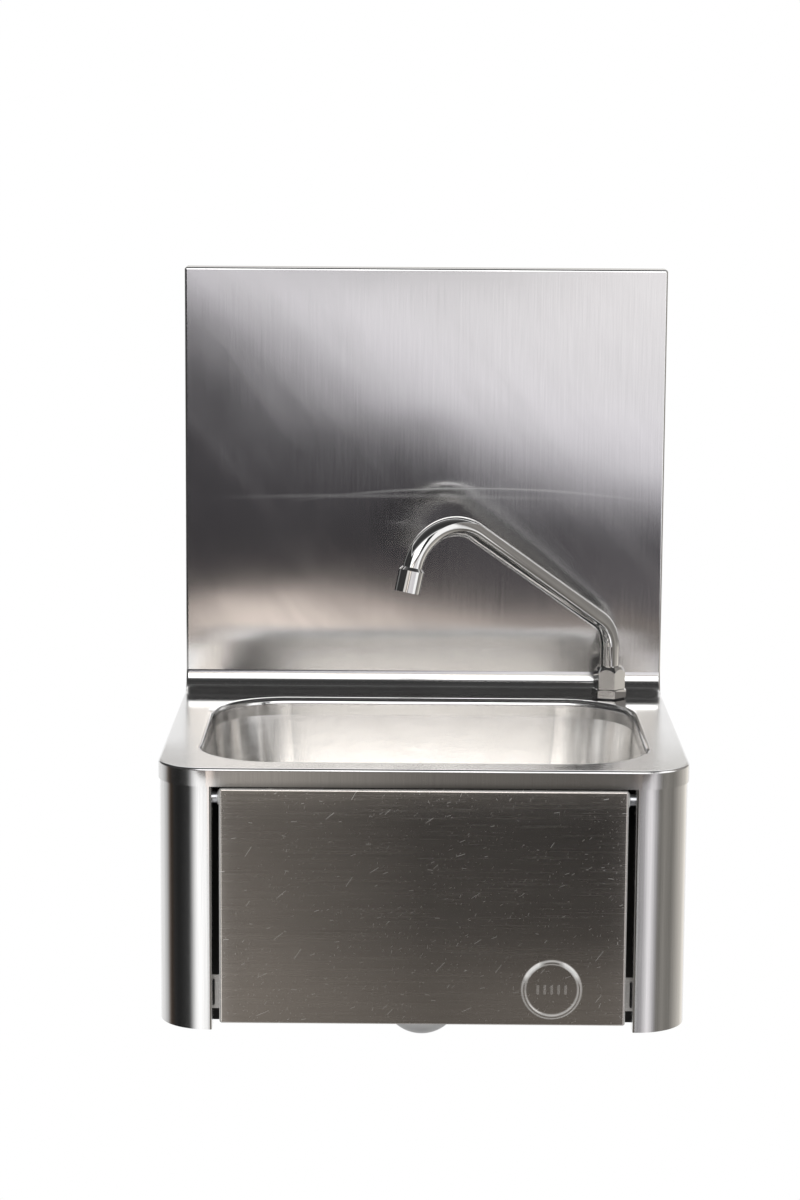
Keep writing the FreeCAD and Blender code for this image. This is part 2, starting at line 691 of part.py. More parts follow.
def valve_body():
    """A brass body: barrel, neck through the rail, two inlets below and an outlet at the side."""
    rear = -D.barrel_length
    body = turned("valve_body", [(0, rear), (D.barrel, rear), (D.barrel, 0), (D.neck, 0),
                                 (D.neck, D.neck_reach), (0, D.neck_reach)])
    cross = sketch_on(body, "YZ_Plane")
    circle(cross, D.manifold, 0, -D.inlet_back)
    pad(body, cross, D.manifold_length, middle=True)
    for radius, drop in ((D.inlet_shoulder, D.inlet_shoulder_drop), (D.inlet, D.inlet_drop)):
        inlets = sketch_on(body, "XZ_Plane")
        for side in (1, -1):
            circle(inlets, radius, D.inlet_spread / 2 * side, -D.inlet_back)
        pad(body, inlets, drop)
    outlet = sketch_on(body, "YZ_Plane")
    circle(outlet, D.outlet, 0, -D.outlet_back)
    pad(body, outlet, D.outlet_reach)
    seat_rear = -D.seat_back - D.seat_thick
    spin(body, [(0, rear - 1), (D.chamber, rear - 1), (D.chamber, seat_rear), (D.seat, seat_rear),
                (D.seat, -D.seat_back), (D.chamber, -D.seat_back), (D.chamber, D.neck_reach + 1),
                (0, D.neck_reach + 1)], "Groove")
    bore = sketch_on(body, "YZ_Plane")
    circle(bore, D.inlet_bore, 0, -D.inlet_back)
    pocket(body, bore, D.manifold_bore_length)
    drops = sketch_on(body, "XZ_Plane")
    for side in (1, -1):
        circle(drops, D.inlet_bore, D.inlet_spread / 2 * side, -D.inlet_back)
    pocket(body, drops, D.inlet_drop, middle=False, back=True)
    way_out = sketch_on(body, "YZ_Plane")
    circle(way_out, D.outlet_bore, 0, -D.outlet_back)
    pocket(body, way_out, D.outlet_reach, middle=False, back=True)
    socket = sketch_on(body, "YZ_Plane", D.outlet_reach - D.socket_depth)
    circle(socket, D.riser_socket, 0, -D.outlet_back)
    pocket(body, socket, D.socket_depth, middle=False, back=True)
    at_valve(body)
    return body


def valve_washer():
    body = ring("valve_washer", D.lock_nut / 2, D.neck + D.fit_gap, D.valve_washer)
    at_valve(body, D.rail_sheet)
    return body


def valve_lock_nut():
    body = nut("valve_lock_nut", D.lock_nut, D.lock_nut_length, D.neck + D.fit_gap, 30)
    at_valve(body, D.rail_sheet + D.valve_washer)
    return body


def valve_bonnet():
    """The plug that guides the spindle and holds its sealing ring in a gland."""
    body = new_body("valve_bonnet")
    head = sketch_on(body, "XY_Plane")
    hexagon(head, D.bonnet_hex, 30)
    pad(body, head, D.bonnet_hex_length)
    plug = sketch_on(body, "XY_Plane")
    circle(plug, D.plug)
    pad(body, plug, D.plug_length, back=True)
    gland = -D.plug_length
    spin(body, [(0, gland - 1), (D.gland, gland - 1), (D.gland, gland + D.gland_length),
                (D.spindle_bore, gland + D.gland_length), (D.spindle_bore, D.bonnet_hex_length + 1),
                (0, D.bonnet_hex_length + 1)], "Groove")
    at_valve(body, D.neck_reach)
    return body


def valve_end_cap():
    body = new_body("valve_end_cap")
    head = sketch_on(body, "XY_Plane")
    hexagon(head, D.end_cap_hex, 0)
    pad(body, head, D.end_cap_length, back=True)
    plug = sketch_on(body, "XY_Plane")
    circle(plug, D.plug)
    pad(body, plug, D.plug_length)
    at_valve(body, -D.barrel_length)
    return body


def spindle_ring():
    body = seal("spindle_ring", (D.gland + D.spindle_bore) / 2, D.spindle_ring)
    at_valve(body, D.neck_reach - D.plug_length + D.gland_length / 2)
    return body


BUTTON_FRONT = FRONT - D.sheet - D.button_gap - RAIL_REAR
BUTTON_REAR = BUTTON_FRONT - D.button_length
BONNET_FRONT = D.neck_reach + D.bonnet_hex_length
DISC_REAR = -D.seat_back - D.seat_thick - D.disc_length


def spindle():
    head = DISC_REAR - D.spindle
    body = turned("spindle", [(0, head), (D.spindle_head, head), (D.spindle_head, DISC_REAR),
                              (D.spindle, DISC_REAR), (D.spindle, BUTTON_REAR + D.button_grip),
                              (0, BUTTON_REAR + D.button_grip)])
    at_valve(body)
    return body


def valve_disc():
    body = ring("valve_disc", D.disc, D.spindle_bore, D.disc_length - D.fit_gap * 2)
    at_valve(body, DISC_REAR + D.fit_gap)
    return body


def knee_button():
    """The domed button on the spindle, which the panel's ring pushes."""
    grip = D.button_grip + D.fit_gap
    soft = D.button_round
    body = turned("knee_button", [
        (D.spindle_bore, 0), (D.button, 0), (D.button, D.button_length - soft),
        (D.button - soft * 0.13, D.button_length - soft * 0.5),
        (D.button - soft * 0.5, D.button_length - soft * 0.13),
        (D.button - soft, D.button_length), (0, D.button_length), (0, grip),
        (D.spindle_bore, grip)])
    at_valve(body, BUTTON_REAR)
    return body


def return_spring():
    """The spring round the spindle, between the bonnet and the button."""
    body = new_body("return_spring")
    gap = D.spring_wire + D.fit_gap
    height = BUTTON_REAR - BONNET_FRONT - gap * 2
    wire = sketch_on(body, "XZ_Plane")
    polygon(wire, octagon(D.spring_middle, D.spring_wire))
    coil = body.newObject("PartDesign::AdditiveHelix", "return_springCoil")
    coil.Profile = wire
    coil.ReferenceAxis = (wire, ["V_Axis"])
    coil.Mode = "height-turns-angle"
    bind(coil, "Height", height)
    bind(coil, "Turns", D.spring_turns)
    doc.recompute()
    at_valve(body, BONNET_FRONT + gap)
    return body


def check_valves():
    """One-way cartridges in the inlets, each with a domed poppet."""
    across = D.check_valve
    long = D.check_valve_length
    groove = long / 2
    pieces = []
    for side in (1, -1):
        body = turned("check_valve_%d" % (side + 2), [
            (0, 0), (across * 0.5, 0), (across * 0.8, D.sheet), (across, D.sheet),
            (across, groove), (across * 0.85, groove), (across * 0.85, groove + D.sheet * 1.5),
            (across, groove + D.sheet * 1.5), (across, long), (across * 0.7, long),
            (across * 0.7, D.sheet * 3), (0, D.sheet * 2)])
        stand(body, D.ring_offset + D.inlet_spread / 2 * side, -RAIL_REAR + D.inlet_back,
              -D.ring_drop - D.inlet_drop + long + 1, TURNS["down"])
        pieces.append(body)
    group = doc.addObject("Part::Compound", "check_valves")
    group.Links = pieces
    group.Label = "check_valves"
    return group


# ---- the riser pipe -------------------------------------------------------------------------

OUTLET_BACK = RAIL_REAR - D.outlet_back
RISER_START = D.ring_offset + D.outlet_reach - D.socket_depth
RISER_END = D.shank_drop - D.socket_depth


def tube_along(body, start, role, radius, bore, spine):
    """A hollow tube along a spine, its section drawn on one of the body's planes at the start."""
    section = sketch_on(body, role, start)
    circle(section, radius)
    circle(section, bore)
    pipe = body.newObject("PartDesign::AdditivePipe", body.Name + "Pipe")
    pipe.Profile = section
    pipe.Spine = spine
    doc.recompute()
    return pipe


def bent_spine(name, corners, bends):
    """A wire of straight runs, joined by tangent arcs of the given radii at its inner corners."""
    points = [FreeCAD.Vector(*[number(v) for v in corner]) for corner in corners]
    edges = []
    here = points[0]
    for i, bend in enumerate(bends, start=1):
        before = (points[i] - points[i - 1]).normalize()
        after = (points[i + 1] - points[i]).normalize()
        half_turn = before.getAngle(after) / 2
        reach = number(bend) * math.tan(half_turn)
        start = points[i] - before * reach
        end = points[i] + after * reach
        inward = (after - before).normalize()
        centre = points[i] + inward * (number(bend) / math.cos(half_turn))
        middle = centre - inward * number(bend)
        edges.append(Part.LineSegment(here, start).toShape())
        edges.append(Part.Arc(start, middle, end).toShape())
        here = end
    edges.append(Part.LineSegment(here, points[-1]).toShape())
    spine = doc.addObject("Part::Feature", name)
    spine.Shape = Part.Wire(edges)
    return spine


def bent_tube(name, corners, bends, radius, bore):
    """A tube swept along a bent spine, as a pipe shell less its bore."""
    spine = bent_spine(name + "_spine", corners, bends)
    wire = spine.Shape
    start = wire.Vertexes[0].Point
    along = wire.Edges[0].tangentAt(wire.Edges[0].FirstParameter)
    shells = []
    for size in (radius, bore):
        profile = Part.Wire([Part.Circle(start, along, number(size)).toShape()])
        shells.append(wire.makePipeShell([profile], True, False))
    piece = doc.addObject("Part::Feature", name)
    piece.Shape = shells[0].cut(shells[1])
    piece.Label = name
    return piece


def riser_pipe():
    """From the valve's outlet along the right side to the spout's tail."""
    level = -D.ring_drop
    piece = bent_tube("riser_pipe", [
        (RISER_START, -OUTLET_BACK, level), (D.spout_offset, -OUTLET_BACK, level),
        (D.spout_offset, -SPOUT_BACK, level), (D.spout_offset, -SPOUT_BACK, -RISER_END)],
        [D.riser_bend, D.riser_bend], D.riser, D.riser_bore)
    stand(piece)
    return piece


def gland_nut(name, across, length, thread, hole):
    """A union nut: a hexagon with a threaded mouth and a lip that closes on the pipe."""
    body = nut(name, across, length, hole)
    mouth = length - D.nut_lip
    spin(body, [(0, -1), (thread, -1), (thread, mouth), (0, mouth)], "Groove")
    return body


def riser_lower_nut():
    body = gland_nut("riser_lower_nut", D.riser_nut, D.riser_nut_length, D.outlet + D.fit_gap,
                     D.riser_socket)
    start = D.ring_offset + D.outlet_reach - D.riser_nut_length + D.nut_lip
    stand(body, start, -OUTLET_BACK, -D.ring_drop, TURNS["right"])
    return body


def riser_upper_nut():
    body = gland_nut("riser_upper_nut", D.tail_nut, D.tail_nut_length, D.shank + D.fit_gap,
                     D.riser_socket)
    stand(body, D.spout_offset, -SPOUT_BACK, -D.shank_drop + D.tail_nut_length - D.nut_lip,
          TURNS["down"])
    return body


# ---- the spout ------------------------------------------------------------------------------


def at_spout(piece, z=0, turn=TURNS["up"]):
    stand(piece, D.spout_offset, -SPOUT_BACK, z, turn)


def spout_shank():
    """The threaded tail through the deck, with its hexagonal base on top."""
    base = D.gasket + D.base_hex_height
    body = turned("spout_shank", [(0, -D.shank_drop), (D.shank, -D.shank_drop),
                                  (D.shank, base - 1), (D.shank_thread, base - 1),
                                  (D.shank_thread, D.shank_top), (0, D.shank_top)])
    hexagon_base = sketch_on(body, "XY_Plane", D.gasket)
    hexagon(hexagon_base, D.base_hex, 46)
    pad(body, hexagon_base, D.base_hex_height)
    crown = D.base_hex * 0.5
    spin(body, [(crown, base), (D.base_hex * 0.6, base), (D.base_hex * 0.6, base - 1.2)], "Groove")
    socket = -D.shank_drop + D.socket_depth
    spin(body, [(0, D.shank_top + 1), (D.shank_bore, D.shank_top + 1),
                (D.shank_bore, -D.shank_bore_drop), (D.outlet_bore, -D.shank_bore_drop),
                (D.outlet_bore, socket), (D.riser_socket, socket),
                (D.riser_socket, -D.shank_drop - 1), (0, -D.shank_drop - 1)], "Groove")
    at_spout(body)
    return body


def deck_gasket():
    body = ring("deck_gasket", D.gasket_reach, D.shank + D.fit_gap, D.gasket)
    at_spout(body)
    return body


def shank_washer():
    body = ring("shank_washer", D.back_washer, D.shank + D.fit_gap, D.back_washer_height)
    at_spout(body, -D.sheet - D.back_washer_height)
    return body


def shank_back_nut():
    body = nut("shank_back_nut", D.back_nut, D.back_nut_height, D.shank + D.fit_gap)
    at_spout(body, -D.sheet - D.back_washer_height, TURNS["down"])
    return body


UNION_FOOT = D.gasket + D.base_hex_height + D.fit_gap * 3


def spout_union_nut():
    """The tall nut that keeps the spout's foot in the shank, its crown turned to a cone."""
    tall = D.union_top - UNION_FOOT
    body = nut("spout_union_nut", D.union_hex, tall, D.tube + D.fit_gap, 46, D.union_crown,
               D.union_crown_drop)
    mouth = tall - D.union_lip
    thread = D.shank_thread + D.fit_gap
    spin(body, [(0, -1), (thread, -1), (thread, mouth), (0, mouth)], "Groove")
    at_spout(body, UNION_FOOT)
    return body


FLANGE_LOW = D.shank_top + D.fit_gap * 3
FLANGE_TOP = FLANGE_LOW + D.foot_flange_height


def spout_foot():
    """The turned foot under the tube, with grooves for two sealing rings."""
    low = D.foot_ring
    groove = D.foot - D.foot_ring * 2
    profile = [(D.outlet_bore, -D.foot_drop), (D.foot, -D.foot_drop)]
    for height in (-8, 8):
        profile += [(D.foot, height - low), (groove, height - low), (groove, height + low),
                    (D.foot, height + low)]
    tongue = D.tube_bore - D.fit_gap
    profile += [(D.foot, FLANGE_LOW), (D.foot_flange, FLANGE_LOW), (D.foot_flange, FLANGE_TOP),
                (tongue, FLANGE_TOP), (tongue, FLANGE_TOP + D.foot_flange_height * 3),
                (D.outlet_bore, FLANGE_TOP + D.foot_flange_height * 3)]
    body = turned("spout_foot", profile)
    at_spout(body)
    return body


def spout_rings():
    pieces = []
    for height in (-8, 8):
        body = seal("spout_ring_%d" % (height + 10), D.foot - D.foot_ring, D.foot_ring)
        at_spout(body, height)
        pieces.append(body)
    group = doc.addObject("Part::Compound", "spout_rings")
    group.Links = pieces
    group.Label = "spout_rings"
    return group


def slip_ring():
    low = FLANGE_TOP + D.fit_gap
    body = ring("spout_slip_ring", D.slip_ring, D.tube + D.fit_gap,
                D.union_top - D.union_lip - low - D.fit_gap)
    at_spout(body, low)
    return body


BEND_END_X = D.tube_low_bend * (1 - sine(D.tube_slope))
BEND_END_Z = D.tube_rise + D.tube_low_bend * cosine(D.tube_slope)
RUN_END_X = BEND_END_X + D.tube_run * cosine(D.tube_slope)
RUN_END_Z = BEND_END_Z + D.tube_run * sine(D.tube_slope)
TOP_CENTRE_X = RUN_END_X + D.tube_top_bend * sine(D.tube_slope)
TOP_CENTRE_Z = RUN_END_Z - D.tube_top_bend * cosine(D.tube_slope)
TIP_X = TOP_CENTRE_X + D.tube_top_bend * cosine(D.tube_lean)
TIP_Z = TOP_CENTRE_Z + D.tube_top_bend * sine(D.tube_lean)
SPOUT_ROTATION = FreeCAD.Rotation(FreeCAD.Vector(0, 0, 1), 180 + SIZES["spout_turn"])


def spout_tube():
    """One bent tube: up, a low bend, a straight slope, a wide top bend and a short tip."""
    body = new_body("spout_tube")
    path = sketch_on(body, "XZ_Plane")
    slope, lean = (math.radians(SIZES[word]) for word in ("tube_slope", "tube_lean"))
    level = FreeCAD.Vector(0, 0, 1)
    start = FreeCAD.Vector(0, number(FLANGE_TOP))
    rise = FreeCAD.Vector(0, number(D.tube_rise))
    low_end = FreeCAD.Vector(number(BEND_END_X), number(BEND_END_Z))
    run_end = FreeCAD.Vector(number(RUN_END_X), number(RUN_END_Z))
    tip = FreeCAD.Vector(number(TIP_X), number(TIP_Z))
    end_x = TIP_X + D.tube_tip * sine(D.tube_lean)
    end_z = TIP_Z - D.tube_tip * cosine(D.tube_lean)
    low_centre = FreeCAD.Vector(number(D.tube_low_bend), number(D.tube_rise))
    top_centre = FreeCAD.Vector(number(TOP_CENTRE_X), number(TOP_CENTRE_Z))
    low_circle = Part.Circle(low_centre, level, number(D.tube_low_bend))
    top_circle = Part.Circle(top_centre, level, number(D.tube_top_bend))
    path.addGeometry(Part.LineSegment(start, rise), False)
    path.addGeometry(Part.ArcOfCircle(low_circle, math.pi / 2 + slope, math.pi), False)
    path.addGeometry(Part.LineSegment(low_end, run_end), False)
    path.addGeometry(Part.ArcOfCircle(top_circle, lean, math.pi / 2 + slope), False)
    path.addGeometry(Part.LineSegment(tip, FreeCAD.Vector(number(end_x), number(end_z))), False)
    for first, end, second, begin in ((0, 2, 1, 2), (1, 1, 2, 1), (2, 2, 3, 2), (3, 1, 4, 1)):
        path.addConstraint(Sketcher.Constraint("Coincident", first, end, second, begin))
    fix_point(path, 0, 1, 0, FLANGE_TOP)
    fix_point(path, 0, 2, 0, D.tube_rise)
    fix(path, "Radius", (1,), D.tube_low_bend)
    fix_point(path, 2, 1, BEND_END_X, BEND_END_Z)
    fix_point(path, 2, 2, RUN_END_X, RUN_END_Z)
    fix(path, "Radius", (3,), D.tube_top_bend)
    fix_point(path, 4, 1, TIP_X, TIP_Z)
    fix_point(path, 4, 2, end_x, end_z)
    tube_along(body, FLANGE_TOP, "XY_Plane", D.tube, D.tube_bore, path)
    at_spout(body, 0, SPOUT_ROTATION)
    return body


def at_tip(piece, along=0):
    """Places a piece on the tube's tip, its own +Z down the stream."""
    x = TIP_X + along * sine(D.tube_lean)
    z = TIP_Z - along * cosine(D.tube_lean)
    down = FreeCAD.Rotation(FreeCAD.Vector(0, 1, 0), 180 - SIZES["tube_lean"])
    stand(piece, D.spout_offset - x * cosine(D.spout_turn), -SPOUT_BACK - x * sine(D.spout_turn),
          z, SPOUT_ROTATION.multiply(down))


def aerator_housing():
    skin = D.tube + D.fit_gap
    seat = D.tube_tip + 1
    body = turned("aerator_housing", [
        (skin, 0), (D.aerator - D.aerator_chamfer * 0.8, 0), (D.aerator, D.aerator_chamfer),
        (D.aerator, D.aerator_length), (D.aerator_bore, D.aerator_length),
        (D.aerator_bore, seat), (skin, seat)])
    at_tip(body)
    return body


def aerator_washer():
    body = ring("aerator_washer", D.aerator_bore - D.fit_gap, D.tube_bore, D.sheet)
    at_tip(body, D.tube_tip + 1)
    return body


def aerator_insert():
    """The plastic stream former, with a ring of holes round its middle one."""
    start = D.tube_tip + 1 + D.sheet
    thick = D.aerator_length - start - 1
    body = new_body("aerator_insert")
    disc = sketch_on(body, "XY_Plane")
    circle(disc, D.aerator_bore - D.fit_gap)
    pad(body, disc, thick)
    middle = sketch_on(body, "XY_Plane")
    circle(middle, D.sheet)
    pocket(body, middle)
    hole = sketch_on(body, "XY_Plane")
    circle(hole, D.sheet, D.aerator_bore * 0.55, 0)
    polar(body, pocket(body, hole), 8)
    at_tip(body, start)
    return body


def polar(body, feature, count):
    axis = next(f for f in body.Origin.OriginFeatures if f.Role == "Z_Axis")
    pattern = body.newObject("PartDesign::PolarPattern", body.Name + "Pattern")
    pattern.Originals = [feature]
    pattern.Axis = (axis, [""])
    pattern.Angle = 360
    pattern.Occurrences = count
    body.Tip = pattern
    doc.recompute()
    return pattern


# ---- the waste and the trap -----------------------------------------------------------------

FLANGE_BASE = -FLOOR + D.waste_gasket
BODY_TOP = -FLOOR - D.sheet - D.waste_gasket


def at_waste(piece, z=0, turn=TURNS["up"]):
    stand(piece, 0, -BOWL_CENTRE, z, turn)


def waste_flange():
    """The strainer: a dished disc with radial slots and a short neck in the bowl's hole."""
    thick = D.strainer_thick
    body = turned("waste_flange", [
        (D.waste_screw + D.fit_gap, 0), (D.strainer_neck - thick, 0),
        (D.strainer_neck - thick, -D.sheet * 3), (D.strainer_neck, -D.sheet * 3),
        (D.strainer_neck, 0), (D.strainer, 0), (D.strainer - thick, thick),
        (D.waste_screw + D.fit_gap, thick)])
    slot = sketch_on(body, "XY_Plane")
    rectangle(slot, D.strainer_neck * 0.42, -D.sheet * 1.3, D.strainer_neck * 0.86, D.sheet * 1.3)
    polar(body, pocket(body, slot), SIZES["strainer_slots"])
    at_waste(body, FLANGE_BASE)
    return body


def waste_screw():
    head = D.strainer_thick
    body = turned("waste_screw", [(0, -D.waste_screw_length),
                                  (D.waste_screw, -D.waste_screw_length), (D.waste_screw, 0),
                                  (D.waste_screw * 1.8, 0), (D.waste_screw * 1.8, head), (0, head)])
    at_waste(body, FLANGE_BASE + D.strainer_thick)
    return body


def waste_gaskets():
    upper = ring("waste_gasket_upper", D.strainer - 2, D.waste_hole + 1, D.waste_gasket)
    at_waste(upper, -FLOOR)
    lower = ring("waste_gasket_lower", D.waste_body, D.waste_hole + 1, D.waste_gasket)
    at_waste(lower, BODY_TOP)
    return [upper, lower]


def waste_body():
    """The cup under the bowl, with a spider that takes the centre screw."""
    thick = D.trap_wall
    low = -D.waste_body_drop
    throat = D.waste_throat
    knee = low / 2
    body = turned("waste_body", [
        (D.waste_hole, 0), (D.waste_body, 0), (D.waste_body, -thick * 1.5),
        (D.waste_hole + thick * 2, -thick * 2.5), (throat, knee), (throat, low),
        (throat - thick, low), (throat - thick, knee), (D.waste_hole, -thick * 3)])
    for across, along in ((throat * 2 - thick, thick), (thick, throat * 2 - thick)):
        arm = sketch_on(body, "XY_Plane", knee)
        rectangle(arm, -across / 2, -along / 2, across / 2, along / 2)
        pad(body, arm, thick * 3, back=True)
    boss = sketch_on(body, "XY_Plane", knee + 1)
    circle(boss, D.waste_screw * 2)
    pad(body, boss, thick * 6, back=True)
    hole = sketch_on(body, "XY_Plane")
    circle(hole, D.waste_screw + D.fit_gap)
    pocket(body, hole)
    at_waste(body, BODY_TOP)
    return body


def trap_inlet_nut():
    low = D.trap_neck_top + D.pipe_wall * 2
    body = nut("trap_inlet_nut", D.trap_nut, D.trap_nut_height, D.waste_throat + D.fit_gap)
    at_waste(body, -low)
    return body


def trap_body():
    """The bottle's upper half: a neck, a shoulder and a side outlet towards the wall."""
    wall = D.trap_wall
    low = -(D.trap_bottom - D.trap_cup) - D.trap_collar_height * 0.6
    body = turned("trap_body", [
        (0, low), (D.trap_bottle, low), (D.trap_bottle, -D.trap_shoulder),
        (D.trap_neck, -D.trap_shoulder + 5), (D.trap_neck, -D.trap_neck_top), (0, -D.trap_neck_top)])
    outlet = sketch_on(body, "XZ_Plane")
    circle(outlet, D.trap_spout, 0, -D.outlet_drop)
    pad(body, outlet, D.trap_spout_reach, back=True)
    inside = D.trap_bottle - wall
    spin(body, [(0, low - 1), (inside, low - 1), (inside, -D.trap_shoulder - wall),
                (D.dip_tube + D.fit_gap, -D.trap_shoulder + 5 - wall),
                (D.dip_tube + D.fit_gap, -D.trap_neck_top + 1), (0, -D.trap_neck_top + 1)],
         "Groove")
    way = sketch_on(body, "XZ_Plane", -inside + 3)
    circle(way, D.outlet_pipe - D.pipe_wall, 0, -D.outlet_drop)
    pocket(body, way, D.trap_spout_reach, middle=False, back=False)
    socket = sketch_on(body, "XZ_Plane", -PIPE_START)
    circle(socket, D.outlet_pipe + D.fit_gap, 0, -D.outlet_drop)
    pocket(body, socket, D.trap_spout_reach, middle=False, back=False)
    at_waste(body)
    return body


def dip_tube():
    long = D.dip_tube_drop - D.trap_neck_top
    body = ring("trap_dip_tube", D.dip_tube, D.dip_tube - D.pipe_wall, long)
    at_waste(body, -D.dip_tube_drop)
    return body


def trap_cup():
    """The lower half, unscrewed to clean the trap: a collar over a round bottom."""
    body = new_body("trap_cup")
    centre = D.trap_cup - D.trap_bottom
    for kind, radius in (("Additive", D.trap_cup), ("Subtractive", D.trap_cup - D.trap_wall)):
        dome = body.newObject("PartDesign::%sSphere" % kind, "trap_cup" + kind)
        lay(dome, body, "XY_Plane", lift=centre)
        bind(dome, "Radius", radius)
        dome.Angle1 = -90
        dome.Angle2 = 0
        doc.recompute()
        if kind == "Additive":
            collar = sketch_on(body, "XY_Plane", centre)
            circle(collar, D.trap_collar)
            pad(body, collar, D.trap_collar_height, back=True)
    at_waste(body)
    return body


def trap_cup_seal():
    body = ring("trap_cup_seal", D.trap_collar - 1, D.trap_bottle + D.fit_gap, D.waste_gasket)
    at_waste(body, D.trap_cup - D.trap_bottom)
    return body


def at_outlet(piece, back):
    stand(piece, 0, -BOWL_CENTRE + back, -D.outlet_drop, TURNS["back"])


def trap_outlet_nut():
    body = gland_nut("trap_outlet_nut", D.outlet_nut, D.outlet_nut_length,
                     D.trap_spout + D.fit_gap, D.outlet_pipe + D.fit_gap)
    at_outlet(body, D.trap_spout_reach - D.outlet_nut_length + D.nut_lip)
    return body


def outlet_pipe():
    wall = BOWL_CENTRE - PIPE_START + 0.5
    long = BOWL_CENTRE - PIPE_START + D.pipe_past_wall
    bore = D.outlet_pipe - D.pipe_wall
    body = turned("outlet_pipe", [
        (bore, 0), (D.outlet_pipe, 0), (D.outlet_pipe, wall), (D.spigot, wall),
        (D.spigot, long - 1), (bore + 0.4, long), (bore, long)])
    at_outlet(body, PIPE_START)
    return body


def wall_rosette():
    deep = D.rosette_depth
    bore = D.outlet_pipe + D.fit_gap * 2
    body = turned("wall_rosette", [
        (bore, 0), (bore + 3, 0), (D.rosette - 6, deep * 0.45), (D.rosette, deep),
        (D.rosette - 1.4, deep), (D.rosette - 6.6, deep * 0.6), (bore + 2.4, 1.4), (bore, 1.4)])
    at_outlet(body, BOWL_CENTRE - deep)
    return body


# ---- all sub-parts --------------------------------------------------------------------------


def make_parts():
    right = right_skirt()
    parts = [deck_and_splashback(), bowl(), right, mirrored("left_skirt", right)]
    parts += [knee_panel(), stop_buffers(), pivot_bushes(), pivot_pins(), pivot_spacers(),
              pivot_nuts()]
    parts += [valve_rail(), rail_cleats(), rail_screws(), rail_nuts()]
    parts += [valve_body(), valve_washer(), valve_lock_nut(), valve_bonnet(), valve_end_cap(),
              spindle_ring(), spindle(), valve_disc(), knee_button(), return_spring(),
              check_valves()]
    parts += [riser_pipe(), riser_lower_nut(), riser_upper_nut()]
    parts += [spout_shank(), deck_gasket(), shank_washer(), shank_back_nut(), spout_union_nut(),
              spout_foot(), spout_rings(), slip_ring(), spout_tube(), aerator_housing(),
              aerator_washer(), aerator_insert()]
    parts += [waste_flange(), waste_screw()] + waste_gaskets()
    parts += [waste_body(), trap_inlet_nut(), trap_body(), dip_tube(), trap_cup(),
              trap_cup_seal(), trap_outlet_nut(), outlet_pipe(), wall_rosette()]
    return parts


def check(parts):
    for thing in doc.Objects:
        if "Invalid" in thing.State or "Error" in thing.State:
            raise RuntimeError("%s failed: %s" % (thing.Label, thing.State))
    for part in parts:
        if part.Shape.isNull() or not part.Shape.isValid() or not part.Shape.Solids:
            raise RuntimeError("%s has no valid solid" % part.Label)


def main():
    parts = make_parts()
    doc.recompute()
    check(parts)
    os.makedirs("parts", exist_ok=True)
    for part in parts:
        part.Shape.exportStep("parts/%s.step" % part.Label)
        box = part.Shape.BoundBox
        print("%-22s %2d solids  %9.1f mm3  x %.1f %.1f  y %.1f %.1f  z %.1f %.1f" % (
            part.Label, len(part.Shape.Solids), part.Shape.Volume, box.XMin, box.XMax,
            box.YMin, box.YMax, box.ZMin, box.ZMax))


main()
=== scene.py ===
import math

import bmesh
import bpy
from bpy.props import FloatProperty, FloatVectorProperty, IntProperty, PointerProperty
from mathutils import Matrix, Vector


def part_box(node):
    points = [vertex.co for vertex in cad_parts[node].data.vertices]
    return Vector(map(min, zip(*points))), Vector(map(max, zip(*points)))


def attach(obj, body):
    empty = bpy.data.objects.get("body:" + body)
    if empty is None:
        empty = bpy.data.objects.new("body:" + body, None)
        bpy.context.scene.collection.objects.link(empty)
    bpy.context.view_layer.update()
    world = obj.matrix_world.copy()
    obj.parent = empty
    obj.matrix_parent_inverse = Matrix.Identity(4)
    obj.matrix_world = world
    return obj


bl_info = {
    "name": "Knee-operated wash basin finishes",
    "version": (1, 0, 0),
    "blender": (4, 5, 0),
    "location": "View3D > Sidebar > Wash Basin",
    "description": "Dresses a wall-hung stainless steel hand wash basin and sets its studio",
    "category": "Object",
}

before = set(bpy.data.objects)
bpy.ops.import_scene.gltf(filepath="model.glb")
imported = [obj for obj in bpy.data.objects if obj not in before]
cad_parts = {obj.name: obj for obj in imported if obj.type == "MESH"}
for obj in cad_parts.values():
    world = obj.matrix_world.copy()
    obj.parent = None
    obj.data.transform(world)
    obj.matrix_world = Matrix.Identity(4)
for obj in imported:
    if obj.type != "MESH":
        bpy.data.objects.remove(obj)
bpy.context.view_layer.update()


# ---------------------------------------------------------------- material helpers

# A colour mix has several sockets of one name, so they go by number.
MIX_SHARE, MIX_FIRST, MIX_SECOND, MIX_RESULT = 0, 6, 7, 2


